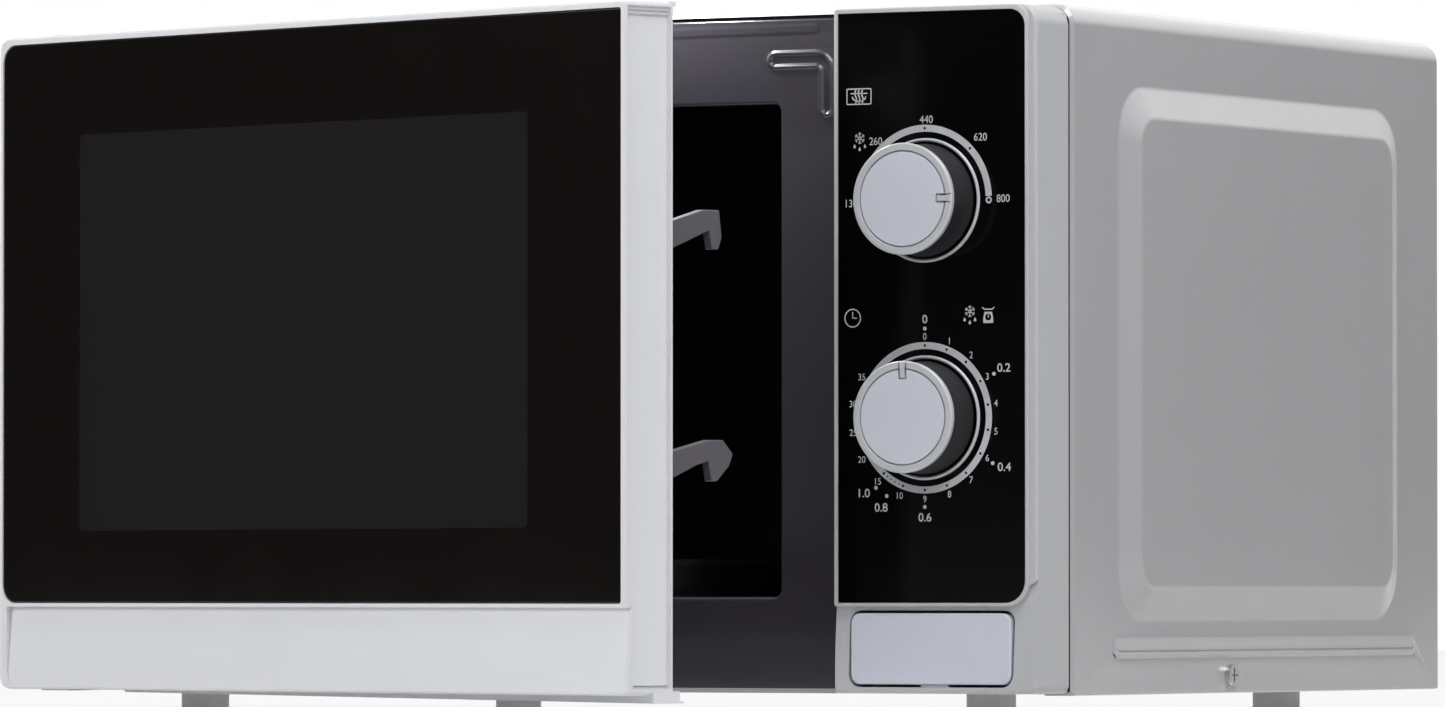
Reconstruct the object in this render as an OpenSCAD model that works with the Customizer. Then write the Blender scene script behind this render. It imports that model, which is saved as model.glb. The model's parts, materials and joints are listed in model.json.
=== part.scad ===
// A 20-litre microwave oven with a side-hinged door, two dials and a push button under them.
// X runs to the right as seen from the front, Y from the front to the back, Z is up.
// The origin is the middle of the four feet, on the plane that they stand on.

/* [Cabinet] */
// Width of the cabinet
cab_w = 439.5; // [437:0.5:480]
// Depth of the cabinet, from the front frame to the back
cab_d = 308; // [306:1:380]
// Height of the cabinet without its feet
cab_h = 248; // [246:0.5:290]
// Thickness of the sheet steel
sheet_t = 0.6; // [0.5:0.1:1]
// Outside radius of the cabinet's bends
bend_r = 7.5; // [6:0.5:10]
// Depth of the folded hem at the cabinet's front edge
hem_d = 9; // [6:0.5:11]
// Width of the flange turned in under each side
side_flange = 12; // [8:1:16]
// Width of the flange turned in behind the rear panel
rear_flange = 12; // [11:1:16]
// Depth of the flange turned back from the front frame
frame_flange = 12; // [11.5:0.5:16]
// Height of the base plate's upturned edges
base_flange = 13; // [12:1:18]
// Height of the feet
foot_h = 9.8; // [8:0.2:20]
// Radius of a foot
foot_r = 9; // [7:0.5:12]
// Distance from the cabinet's side to a foot's centre
foot_in_x = 51.75; // [30:0.25:60]
// Distance from the cabinet's front or back to a foot's centre
foot_in_y = 36; // [25:1:50]

/* [Side panels] */
// Height of the raised panel on each side
raise_h = 4; // [2:0.5:6]
// Width of the raised panel's sloping edge
raise_run = 13; // [8:0.5:18]
// Corner radius at the raised panel's foot
raise_r = 20; // [18:1:30]
// Distance from the cabinet's front edge to the raised panel
raise_front = 35.3; // [25:0.1:50]
// Distance from the cabinet's back to the raised panel
raise_back = 36.7; // [25:0.1:50]
// Distance from the cabinet's bottom edge to the raised panel
raise_low = 26.4; // [25:0.1:40]
// Distance from the cabinet's top to the raised panel
raise_top = 27; // [15:0.1:40]
// Height of the bead under the raised panel
bead_h = 1.8; // [1.2:0.1:3]
// Width of the bead
bead_w = 8; // [6:0.5:9]
// Distance from the cabinet's bottom edge to the bead
bead_low = 13; // [12.5:0.1:16]

/* [Cavity] */
// Width of the component bay, from the cavity to the cabinet's right side
bay_w = 109.25; // [108:0.25:120]
// Distance from the cabinet's top to the cavity's ceiling
cav_drop = 19; // [18.5:0.5:26]
// Distance from the cabinet's back to the cavity's back
cav_back = 11.2; // [10.8:0.1:30]
// Distance from the cabinet's left side to the cavity
cav_left = 24.25; // [22:0.25:26]
// Distance from the cabinet's bottom edge to the cavity floor
cav_rise = 21; // [20.5:0.5:24]
// Sheet thickness of the cavity
liner_t = 0.6; // [0.5:0.1:1]
// Corner radius of the cavity
cav_r = 8; // [4:1:14]
// Width of the front frame left showing inside the cavity's sides
frame_in_x = 10.3; // [8:0.1:14]
// Width of the front frame left showing inside the cavity's floor and ceiling
frame_in_z = 14.45; // [10:0.05:18]
// Corner radius of the opening in the front frame
opening_r = 4; // [2:0.5:10]

/* [Door] */
// Angle at which the door stands ajar
door_ajar = 18.7; // [0:0.1:90]
// Gap between the cabinet's outline and the door or the panel at the sides
edge_in = 0.4; // [0:0.1:2]
// Gap between the cabinet's outline and the door or the panel at the bottom
edge_low = 0.8; // [0:0.1:2]
// Distance from the cabinet's top to the door's top
door_drop = 2.5; // [1:0.1:5]
// Depth of the door's outer frame
door_depth = 22.5; // [21.8:0.1:23]
// Wall thickness of the door's frame
door_wall = 2.5; // [2:0.1:3]
// Depth of the web behind the glass
web_t = 2.2; // [1.8:0.1:2.6]
// Thickness of the door glass
glass_t = 3.2; // [3:0.1:4]
// Height of the plain strip below the glass
strip_h = 32.4; // [28:0.1:40]
// How far the strip lies behind the lip round the glass
strip_in = 2; // [0.5:0.1:2.4]
// Width of the door's lip at the left of the glass
lip_left = 3.35; // [2.9:0.05:5]
// Width of the door's lip at the right of the glass
lip_right = 2.45; // [2.2:0.05:4]
// Width of the door's lip above the glass
lip_top = 2; // [1.6:0.1:4]
// Corner radius of the glass
glass_r = 7; // [4:0.5:9]
// Width of the border between the glass edge and the window, at the left
border_left = 46; // [40:1:60]
// Width of the border between the glass edge and the window, at the right
border_right = 50; // [46:1:60]
// Height of the border under the window
border_low = 26.8; // [20:0.1:40]
// Height of the border over the window
border_top = 35.5; // [25:0.5:50]

/* [Hinge] */
// Distance from the door's left edge to the hinge pins
pin_in = 11.35; // [11:0.05:12]
// Distance from the door's front plane back to the hinge pins
pin_back = 13; // [12.5:0.1:13.4]
// Radius of a hinge pin
pin_r = 2.5; // [2:0.1:3]
// Radial clearance of a hinge pin in the door
pin_gap = 0.05; // [0.02:0.01:0.1]
// Length of a hinge pin below its arm
pin_len = 11.7; // [8:0.1:14]
// Thickness of a hinge arm
arm_t = 2; // [1.5:0.1:3]
// Width of a hinge arm
arm_w = 10; // [8:0.5:10.5]
// Distance from the door's top to the upper arm
arm_drop = 14; // [8:0.5:20]
// Distance from the door's bottom to the lower arm
arm_rise = 12; // [8:0.5:18]
// Thickness of a hinge plate on the front frame
plate_t = 1.5; // [1:0.1:1.5]

/* [Latch] */
// Thickness of the hook piece
hook_t = 4; // [3:0.1:4.4]
// Distance from the door's right edge to the hook piece
hook_in = 5.95; // [5.5:0.05:7]
// Height of the hook piece's bar
hook_len = 130; // [126:1:140]
// Distance from the cabinet's bottom edge to the bar's lower end
hook_low = 60; // [58:1:64]
// Distance from the cabinet's bottom edge to the lower hook's tip
lower_tip = 76.4; // [76:0.1:80]
// Distance from the lower hook's tip to the upper hook's tip
tip_pitch = 82.3; // [80:0.1:86]
// Gap between a hook's tip and the ledge or the lever under it
tip_gap = 0.5; // [0.4:0.1:1]
// Depth to which the hooks drop behind the ledge
latch_drop = 2; // [1.5:0.1:2.5]
// Thickness of the latch board
board_t = 2.5; // [2:0.1:3]
// Depth of the latch board
board_d = 45; // [44:1:50]
// Radius of the door open lever's pin
lever_pin_r = 2.5; // [2:0.1:3]
// Radius of the switch lever's pin
switch_pin_r = 2; // [1.5:0.1:2.2]

/* [Control panel] */
// Width of the control panel
panel_w = 81.4; // [80.5:0.1:84]
// Depth of the control panel
panel_t = 27.5; // [27.5:0.1:30]
// Gap between the control panel and the front frame
panel_gap = 1.2; // [0.8:0.1:1.6]
// Gap between the door and the control panel
split_gap = 1.5; // [1.4:0.1:2]
// Distance from the cabinet's top to the panel's top
panel_drop = 1.2; // [0.5:0.1:3]
// Wall thickness of the control panel
panel_wall = 2.2; // [1.8:0.1:2.6]
// How far the pad round the black plate stands proud of the panel
pad_h = 1.5; // [1:0.1:1.8]
// Thickness of the black plate
face_t = 0.8; // [0.5:0.1:1]
// Distance from the panel's right edge to the black plate
face_right = 4.15; // [3.5:0.05:6]
// Distance from the panel's left edge to the black plate
face_left = 0.95; // [0.8:0.05:2]
// Distance from the panel's bottom to the black plate
face_low = 32.6; // [32:0.1:40]
// Distance from the panel's top to the black plate
face_top = 1.9; // [1.5:0.1:5]

/* [Knobs] */
// Distance from the panel's left edge to the knobs' axis
knob_in = 36.95; // [36:0.05:42]
// Distance from the cabinet's bottom edge to the timer's axis
timer_rise = 99.5; // [98:0.1:101]
// Distance from the timer's axis to the power knob's axis
knob_pitch = 77.8; // [70:0.1:90]
// Radius of a knob's front rim
knob_r = 20; // [18:0.1:20]
// Radius of a knob at its base
skirt_r = 20.2; // [19.5:0.1:20.4]
// Height of a knob's front rim over the panel's front plane
knob_h = 17; // [15:0.5:22]
// Height of a knob's silver cap
cap_h = 2.7; // [2.2:0.1:4]
// Radius of a knob's shaft
shaft_r = 3; // [2.5:0.1:3.5]
// Outer radius of the silver ring round a knob
ring_r = 22.5; // [22:0.1:25]
// Width of the silver ring round a knob
ring_w = 1.6; // [1:0.1:1.6]

/* [Push button] */
// Width of the push button
button_w = 64.6; // [60:0.1:66]
// Height of the push button
button_h = 25.5; // [22:0.1:25.8]
// Distance from the panel's left edge to the push button
button_in = 6.75; // [6:0.05:8]
// Distance from the panel's bottom to the push button
button_low = 3.3; // [3:0.1:4]
// Depth of the push button's cap
button_d = 10; // [8:0.5:11]
// Gap round the push button
button_gap = 1; // [0.5:0.1:1]
// Radius of the push button's plunger
plunger_r = 4; // [3.5:0.1:4.2]
// Radial clearance of the plunger in the panel
plunger_gap = 0.08; // [0.04:0.01:0.1]

/* [Turntable] */
// Radius of the glass tray
tray_r = 122.5; // [110:0.5:126]
// Thickness of the glass tray
tray_t = 5; // [4:0.5:6]
// Height of the tray's rim over its underside
rim_h = 14; // [10:0.5:18]
// Radius of a roller
roller_r = 7; // [6.5:0.1:9]
// Width of a roller
roller_w = 6; // [5:0.5:8]
// Distance from the tray's axis to a roller's middle
track_r = 91.5; // [80:0.5:95]
// Radius of a roller's axle
axle_r = 2; // [1.5:0.1:2.4]
// Radial clearance of a roller on its axle
axle_gap = 0.08; // [0.04:0.01:0.1]
// Radius of the coupler's stem
stem_r = 5; // [4:0.1:5.5]

/* [Electrics] */
// Depth of the waveguide to the right of the cavity
guide_w = 28; // [24:0.5:28]
// Length of the waveguide
guide_len = 140; // [120:1:142]
// Height of the waveguide
guide_h = 65; // [60:1:66]
// Radius of the fan's blades
fan_r = 42; // [34:0.5:43]
// Radial gap between the fan's blades and its duct
fan_gap = 2; // [1.5:0.1:3]
// Radius of the fan's shaft
fan_shaft_r = 1.5; // [1:0.1:2]
// Height of the transformer
core_h = 62; // [55:1:70]
// Height of the capacitor
can_h = 32; // [28:1:36]
// Radius of the turntable motor
motor_r = 24.5; // [20:0.5:26]

/* [Hidden] */

$fn = 48;
// A cut runs this far past the face that it opens
over = 1;
// Pieces that only lie beside each other are this far apart
seat = 0.3;

// Planes of the cabinet
x_r = cab_w / 2;
x_l = -x_r;
y_f = -cab_d / 2;
y_b = cab_d / 2;
z_b = foot_h;
z_t = foot_h + cab_h;
// Inset of what lies inside the hem, and inside the plain sheet
hem_in = 2 * sheet_t + seat;
skin_in = sheet_t + seat;
// Screws
screw_r = 1.6;
screw_hole_r = 1.9;
head_r = 4;
head_h = 2.2;
side_screw = [y_f + 126.3, z_b + 6.6];
rear_screw_in = 6.2;
rear_screw_z = [z_b + 60, z_t - 58];
rear_screw_x = [-180, 0, 180];

// Base plate and rear panel
base_z0 = z_b + skin_in;
base_z1 = base_z0 + sheet_t;
base_y0 = y_f + frame_flange + seat;
rear_y1 = y_b - skin_in;
rear_y0 = rear_y1 - sheet_t;
rear_lip = 10;

// Cavity
cav_x0 = x_l + cav_left;
cav_x1 = x_r - bay_w;
cav_z0 = z_b + cav_rise;
cav_z1 = z_t - cav_drop;
cav_y0 = y_f + sheet_t;
cav_y1 = y_b - cav_back;
cav_cx = (cav_x0 + cav_x1) / 2;
cav_cy = (cav_y0 + cav_y1) / 2;
wall_x = cav_x1 + liner_t;
open_x0 = cav_x0 + frame_in_x;
open_x1 = cav_x1 - frame_in_x;
open_z0 = cav_z0 + frame_in_z;
open_z1 = cav_z1 - frame_in_z;
liner_flange = 8;

// Front planes of the door and the panel
y_p = y_f - panel_gap - panel_t;
panel_x1 = x_r - edge_in;
panel_x0 = panel_x1 - panel_w;
panel_z0 = z_b + edge_low;
panel_z1 = z_t - panel_drop;
door_x0 = x_l + edge_in;
door_x1 = panel_x0 - split_gap;
door_z0 = z_b + edge_low;
door_z1 = z_t - door_drop;
door_corner = bend_r - edge_in;

// Door glass and window
glass_y0 = y_p + seat;
glass_y1 = glass_y0 + glass_t;
glass_x0 = door_x0 + lip_left;
glass_x1 = door_x1 - lip_right;
glass_z0 = door_z0 + strip_h;
glass_z1 = door_z1 - lip_top;
web_y0 = glass_y1 + seat;
web_y1 = web_y0 + web_t;
win_x0 = glass_x0 + border_left;
win_x1 = glass_x1 - border_right;
win_z0 = glass_z0 + border_low;
win_z1 = glass_z1 - border_top;
win_r = 6;

// Inner panel of the door, with the choke that faces the front frame
inner_t = 0.8;
inner_x0 = open_x0 - 14;
inner_x1 = open_x1 + 14;
inner_z0 = open_z0 - 14;
inner_z1 = open_z1 + 14;
inner_r = 5;
screen_t = 0.6;
screen_y0 = web_y1 + 5.4;
inner_y0 = screen_y0 + screen_t;
choke_y1 = y_f - 0.5;
choke_y0 = choke_y1 - 1.1;
inner_y1 = choke_y0 - seat;
ledge_y0 = choke_y0 - 3;
film_t = 0.7;
post_r = 4;

// Hinge
pin_x = door_x0 + pin_in;
pin_y = y_p + pin_back;
arm_up_z1 = door_z1 - arm_drop;
arm_up_z0 = arm_up_z1 - arm_t;
arm_low_z0 = door_z0 + arm_rise;
arm_low_z1 = arm_low_z0 + arm_t;
boss_r = pin_r + 3;
boss_h = pin_len + 2;
hinge_plate_h = 34;
hinge_plate_out = 9.5;
rear_corner_r = 3;
front_corner_r = 2.5;

// Latch hook, in the door
hook_x1 = door_x1 - hook_in;
hook_x0 = hook_x1 - hook_t;
hook_cx = (hook_x0 + hook_x1) / 2;
bar_y0 = web_y1 + 2;
bar_y1 = bar_y0 + 12;
bar_z0 = z_b + hook_low;
bar_z1 = bar_z0 + hook_len;
low_tip_z = z_b + lower_tip;
up_tip_z = low_tip_z + tip_pitch;
guide_wall = 1.8;
guide_h2 = 10;
hook_guide_z = [bar_z0 + 34, bar_z1 - 15];
spring_len = 21.4;
shelf_z1 = bar_z0 - spring_len - 2 * seat;

// Latch parts behind the front frame
slot_x0 = hook_x0 - 0.7;
slot_x1 = hook_x1 + 4.1;
board_x0 = hook_x1 + 6.5;
board_x1 = board_x0 + board_t;
board_y0 = y_f + sheet_t + seat;
board_y1 = y_f + board_d;
board_z0 = z_b + 48;
board_z1 = z_b + 192;
tip_y = y_p + 46.6;
lever_x0 = board_x0 - 8;
lever_x1 = board_x0 - 1;
lever_y = y_f + 7;
lever_z = low_tip_z - latch_drop - tip_gap - 33.9;
switch_y = y_p + 62;
switch_z = low_tip_z + 33.6;
micro = [10.3, 15.9, 27.8];
micro_y0 = y_p + 50;
micro_z = [z_b + 60, z_b + 100, z_b + 150];
peg_r = 1.45;
peg_at = [[3, 5], [12.9, 22.8]];

// Control panel
pad_x1 = panel_x1 - 2.85;
pad_z0 = panel_z0 + 31.2;
face_x0 = panel_x0 + face_left;
face_x1 = panel_x1 - face_right;
face_z0 = panel_z0 + face_low;
face_z1 = panel_z1 - face_top;
face_y0 = y_p + seat;
face_y1 = face_y0 + face_t;
front_y1 = y_p + 4;
panel_y1 = y_p + panel_t;
shelf_z = panel_z0 + face_low + 1.4;
rear_wall_y = panel_y1 - 3;
screw_boss_x = [panel_x0 + 7, panel_x1 - 7];
screw_boss_z = [z_b + 45, z_t - 20];
screw_boss_r = 4;
cut_x0 = panel_x0 + 8;
cut_x1 = panel_x1 - 7.35;
cut_z0 = z_b + 60;
cut_z1 = z_t - 33;

// Knobs and the movements behind them
knob_x = panel_x0 + knob_in;
timer_z = z_b + timer_rise;
power_z = timer_z + knob_pitch;
knob_y0 = y_p - knob_h;
skirt_y0 = knob_y0 + cap_h;
skirt_y1 = y_p - 0.4;
shaft_gap = 0.05;
flat_d = shaft_r * 0.7;
unit_y0 = y_p + 8;
timer_half = [28, 30];
timer_d = 40;
power_half = [26, 24];
power_d = 36;
unit_post_r = 3.5;
shaft_in = 12;

// Push button
button_x0 = panel_x0 + button_in;
button_x1 = button_x0 + button_w;
button_z0 = panel_z0 + button_low;
button_z1 = button_z0 + button_h;
button_y0 = y_p + seat;
button_y1 = button_y0 + button_d;
button_r = 3.5;
plunger_x = button_x0 + 5.3;
plunger_z = button_z0 + 13;
plunger_y1 = y_f + 3.2;
collar_r = 7;

// Turntable
floor_z = cav_z0;
axle_z = floor_z + roller_r + 0.05;
tray_z0 = floor_z + 2 * roller_r + 0.35;
ring_x0 = track_r - roller_w / 2 - 6.5;
ring_x1 = ring_x0 + 5;
motor_z0 = base_z1;
motor_z1 = floor_z - liner_t - seat;
rollers = 3;

// Electrics
comp_x = (wall_x + x_r - sheet_t) / 2;
fan_z = z_t - 68;
fan_y1 = rear_y0 - 4;
fan_y0 = fan_y1 - 18;
motor_plate_y = fan_y0 - 26;
motor_front_y = motor_plate_y - 6;
mag_half_y = 43;
mag_half_z = 33;
mag_d = 49;
// The antenna stands this far from the waveguide's rear end
antenna_in = 41;
lamp_half = 12;
// The latch board, the magnetron, the lamp and the fan motor share the depth with equal gaps
bay_gap = (motor_front_y - board_y1 - guide_len + antenna_in - mag_half_y - 2 * lamp_half) / 3;
guide_y0 = board_y1 + bay_gap;
guide_z0 = cav_z1 - 14 - guide_h;
guide_cz = guide_z0 + guide_h / 2;
mag_y = guide_y0 + guide_len - antenna_in;
mag_x0 = wall_x + guide_w + 2;
mag_x1 = mag_x0 + mag_d;
filter_box_x1 = x_r - sheet_t - 4.65;
fan_hub_r = 9;
core_x = comp_x + 2;
core_y = 0;
core_z0 = base_z1;
can_y = core_y + 82;
cord_x = comp_x + 25;
cord_z = z_b + 34;
cord_r = 3.7;
lamp_y = mag_y + mag_half_y + bay_gap + lamp_half;
lamp_z = z_t - 58;

// Corner of a rounded outline: the arc of radius r about [cx, cy], a quarter turn from angle a
function corner(cx, cy, r, a) =
    r <= 0 ? [[cx, cy]] : [for (i = [0:8]) [cx + r * cos(a + i * 90 / 8), cy + r * sin(a + i * 90 / 8)]];

// Rectangle with radii r = [lower left, lower right, upper right, upper left]
function round_box(x0, y0, x1, y1, r) = concat(
    corner(x0 + r[0], y0 + r[0], r[0], 180),
    corner(x1 - r[1], y0 + r[1], r[1], 270),
    corner(x1 - r[2], y1 - r[2], r[2], 0),
    corner(x0 + r[3], y1 - r[3], r[3], 90)
);

function same(r) = [r, r, r, r];

module rounded(x0, y0, x1, y1, r) {
    polygon(round_box(x0, y0, x1, y1, r));
}

// A strip with round ends
module slot(x0, y0, x1, y1) {
    rounded(x0, y0, x1, y1, same(min(x1 - x0, y1 - y0) / 2));
}

// An outline drawn in X and Z, stretched from y0 to y1
module along_y(y0, y1) {
    translate([0, y1, 0]) rotate([90, 0, 0]) linear_extrude(y1 - y0) children();
}

// An outline drawn in Y and Z, stretched from x0 to x1
module along_x(x0, x1) {
    translate([x0, 0, 0]) rotate([90, 0, 90]) linear_extrude(x1 - x0) children();
}

// An outline drawn in X and Y, stretched from z0 to z1
module along_z(z0, z1) {
    translate([0, 0, z0]) linear_extrude(z1 - z0) children();
}

module box(x0, x1, y0, y1, z0, z1) {
    translate([x0, y0, z0]) cube([x1 - x0, y1 - y0, z1 - z0]);
}

// A round bar along Y or along X
module bar_y(x, z, r, y0, y1) {
    translate([x, y1, z]) rotate([90, 0, 0]) cylinder(r = r, h = y1 - y0);
}

module bar_x(y, z, r, x0, x1) {
    translate([x0, y, z]) rotate([0, 90, 0]) cylinder(r = r, h = x1 - x0);
}

// Turns the closed door to where it stands ajar
module door_pose() {
    translate([pin_x, pin_y, 0]) rotate([0, 0, -door_ajar]) translate([-pin_x, -pin_y, 0]) children();
}

// A coil of round wire about Z, standing on the origin
module coil(r, wire, turns, height) {
    sides = 6;
    steps = turns * 14;
    rise = height - 2 * wire;
    points = [for (i = [0:steps], j = [0:sides - 1])
        let (a = 360 * turns * i / steps, b = 360 * j / sides, q = r + wire * cos(b))
        [q * cos(a), q * sin(a), wire + rise * i / steps + wire * sin(b)]];
    walls = [for (i = [0:steps - 1], j = [0:sides - 1])
        let (k = (j + 1) % sides)
        [i * sides + j, i * sides + k, (i + 1) * sides + k, (i + 1) * sides + j]];
    first = [[for (j = [sides - 1:-1:0]) j]];
    last = [[for (j = [0:sides - 1]) steps * sides + j]];
    polyhedron(points, concat(walls, first, last), convexity = 8);
}

// ---------------------------------------------------------------- casing

module cabinet_outline(in, low) {
    rounded(x_l + in, z_b + low, x_r - in, z_t - in, [0, 0, bend_r - in, bend_r - in]);
}

// The raised side panel as a frustum, its sides shifted inwards by depth
module raised_side(depth) {
    y0 = y_f + raise_front;
    y1 = y_b - raise_back;
    z0 = z_b + raise_low;
    z1 = z_t - raise_top;
    hull() {
        along_x(x_r - depth - sheet_t / 2, x_r - depth) rounded(y0, z0, y1, z1, same(raise_r));
        along_x(x_r - depth, x_r - depth + raise_h)
            rounded(y0 + raise_run, z0 + raise_run, y1 - raise_run, z1 - raise_run, same(raise_r - raise_run * 0.8));
    }
}

// The bead as a bar with round ends
module side_bead(depth) {
    along_x(x_r - depth - sheet_t / 2, x_r - depth + bead_h)
        slot(y_f + raise_front - 4 + depth, z_b + bead_low + depth, y_b - 20.7 - depth, z_b + bead_low + bead_w - depth);
}

module side_screw_place(side) {
    mirror([side < 0 ? 1 : 0, 0, 0]) children();
}

module outer_cabinet() {
    color("gainsboro") difference() {
        union() {
            along_y(y_f + hem_d, y_b) difference() {
                cabinet_outline(0, 0);
                cabinet_outline(sheet_t, sheet_t);
                translate([x_l + side_flange, z_b - over]) square([cab_w - 2 * side_flange, 2 * over]);
            }
            along_y(y_f, y_f + hem_d) difference() {
                cabinet_outline(0, 0);
                cabinet_outline(2 * sheet_t, -over);
            }
            along_y(y_b - sheet_t, y_b) difference() {
                cabinet_outline(0, 0);
                rounded(x_l + rear_flange, z_b - over, x_r - rear_flange, z_t - rear_flange, [0, 0, 4, 4]);
            }
            for (side = [-1, 1]) side_screw_place(side) {
                raised_side(0);
                side_bead(0);
            }
        }
        for (side = [-1, 1]) side_screw_place(side) {
            raised_side(sheet_t);
            side_bead(sheet_t);
            bar_x(side_screw[0], side_screw[1], screw_hole_r, x_r - 2 * over, x_r + over);
        }
        for (x = rear_screw_x) bar_y(x, z_t - rear_screw_in, screw_hole_r, y_b - 2 * over, y_b + over);
        for (side = [-1, 1], z = rear_screw_z)
            bar_y(side * (x_r - rear_screw_in), z, screw_hole_r, y_b - 2 * over, y_b + over);
    }
}

module base_plate() {
    edge = x_r - skin_in;
    color("silver") difference() {
        union() {
            along_z(base_z0, base_z1) difference() {
                translate([-edge, base_y0]) square([2 * edge, rear_y1 - base_y0]);
                for (x = [-1, 1], y = [-1, 1])
                    translate([x * (x_r - foot_in_x), y * (y_b - foot_in_y)]) circle(r = 3.2);
                for (i = [0:7]) slot(core_x - 34, core_y + 46 + i * 7, core_x + 34, core_y + 49 + i * 7);
                for (i = [0:4]) slot(x_l + 40 + i * 9, -60, x_l + 43 + i * 9, -20);
            }
            for (side = [-1, 1]) side_screw_place(side)
                box(edge - sheet_t, edge, base_y0, y_b - 13, base_z0, z_b + base_flange);
        }
        for (side = [-1, 1]) side_screw_place(side)
            bar_x(side_screw[0], side_screw[1], screw_hole_r, edge - 2 * over, edge + over);
    }
}

module rear_outline(in) {
    rounded(x_l + in, base_z1 + seat + in - skin_in, x_r - in, z_t - in, [1, 1, bend_r - in, bend_r - in]);
}

module rear_panel() {
    color("silver") {
        difference() {
            union() {
                along_y(rear_y0, rear_y1) rear_outline(skin_in);
                along_y(rear_y0 - rear_lip, rear_y0) difference() {
                    rear_outline(skin_in);
                    rear_outline(skin_in + sheet_t);
                }
            }
            along_y(rear_y0 - over, rear_y1 + over) {
                translate([comp_x, fan_z]) {
                    circle(r = 2.2);
                    for (ring = [1:4], i = [0:6 * ring - 1])
                        rotate(i * 60 / ring) translate([ring * 8, 0]) circle(r = 2.2);
                }
                for (i = [0:7], c = [0, 1])
                    slot(cav_cx - 80 + c * 50, z_t - 98 + i * 8, cav_cx - 40 + c * 50, z_t - 95 + i * 8);
                translate([cord_x, cord_z]) circle(r = 8.1);
                for (x = rear_screw_x) translate([x, z_t - rear_screw_in]) circle(r = screw_hole_r);
                for (side = [-1, 1], z = rear_screw_z)
                    translate([side * (x_r - rear_screw_in), z]) circle(r = screw_hole_r);
            }
        }
    }
}

module feet() {
    color("dimgray") for (x = [-1, 1], y = [-1, 1]) translate([x * (x_r - foot_in_x), y * (y_b - foot_in_y), 0]) {
        cylinder(r = foot_r, h = base_z0);
        cylinder(r = 3, h = base_z1 + 3);
        translate([0, 0, base_z1 + seat]) cylinder(r1 = 4, r2 = 3, h = 3);
    }
}

// A screw along +Y with its head's underside at y = 0
module screw_y(length) {
    rotate([-90, 0, 0]) {
        cylinder(r = screw_r, h = length);
        difference() {
            translate([0, 0, -head_h]) cylinder(r = head_r, h = head_h);
            for (a = [0, 90]) rotate([0, 0, a]) translate([-2.6, -0.4, -head_h - over]) cube([5.2, 0.8, over + 1.2]);
        }
    }
}

module cabinet_screws() {
    color("lightgray") {
        for (side = [-1, 1]) side_screw_place(side)
            translate([x_r, side_screw[0], side_screw[1]]) rotate([0, 0, 90]) screw_y(7);
        for (x = rear_screw_x) translate([x, y_b, z_t - rear_screw_in]) rotate([0, 0, 180]) screw_y(7);
        for (side = [-1, 1], z = rear_screw_z)
            translate([side * (x_r - rear_screw_in), y_b, z]) rotate([0, 0, 180]) screw_y(7);
        for (x = screw_boss_x, z = screw_boss_z)
            translate([x, y_f + sheet_t, z]) rotate([0, 0, 180]) screw_y(8);
    }
}

module cord_inlet() {
    color("dimgray") difference() {
        union() {
            bar_y(cord_x, cord_z, 11, rear_y1, rear_y1 + 4);
            bar_y(cord_x, cord_z, 8, rear_y0 - 6, rear_y1 + over);
            bar_y(cord_x, cord_z, 10, rear_y0 - 6, rear_y0 - seat);
        }
        bar_y(cord_x, cord_z, cord_r, rear_y0 - 8, rear_y1 + 6);
    }
}

// ---------------------------------------------------------------- front frame and cavity

module frame_outline(in) {
    rounded(x_l + in, base_z0 + in - hem_in, x_r - in, z_t - in, [1, 1, bend_r - in, bend_r - in]);
}

// Ribs pressed forwards in the front frame
module frame_ribs(in) {
    x1 = open_x1 + 23.5;
    z1 = open_z1 + 21.5;
    slot(x1 - 27.7 + in, z1 - 4.8 + in, x1 - in, z1 - in);
    slot(x1 - 5 + in, z1 - 26 + in, x1 - in, z1 - in);
    slot(x1 + 4.8 + in, z1 - 4.8 + in, panel_x0 - 0.8 - in, z1 - in);
    slot(open_x0 - 17 + in, z1 - 4.8 + in, open_x0 + 14 - in, z1 - in);
}

module front_frame() {
    rib = 1;
    color("dimgray") difference() {
        union() {
            along_y(y_f, y_f + sheet_t) frame_outline(hem_in);
            along_y(y_f, y_f + frame_flange) difference() {
                frame_outline(hem_in);
                frame_outline(hem_in + sheet_t);
            }
            along_y(y_f, y_f + 5) rounded(open_x0 - sheet_t, open_z0 - sheet_t, open_x1 + sheet_t,
                open_z1 + sheet_t, same(opening_r + sheet_t));
            along_y(y_f - rib, y_f + sheet_t / 2) frame_ribs(0);
        }
        along_y(y_f - rib + sheet_t, y_f + sheet_t + over) frame_ribs(sheet_t);
        along_y(y_f - over, y_f + 6) rounded(open_x0, open_z0, open_x1, open_z1, same(opening_r));
        along_y(y_f - over, y_f + 2) {
            rounded(cut_x0, cut_z0, cut_x1, cut_z1, same(3));
            rounded(slot_x0, low_tip_z - 6.4, slot_x1, low_tip_z + 20, same(1));
            rounded(slot_x0, up_tip_z - 6.4, slot_x1, up_tip_z + 20, same(1));
            translate([plunger_x, plunger_z]) circle(r = plunger_r + 1.5);
            for (x = screw_boss_x, z = screw_boss_z) translate([x, z]) circle(r = screw_hole_r);
        }
    }
}

module cavity_box(in) {
    rounded(cav_x0 - in, cav_z0 - in, cav_x1 + in, cav_z1 + in, same(cav_r + in));
}

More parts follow.
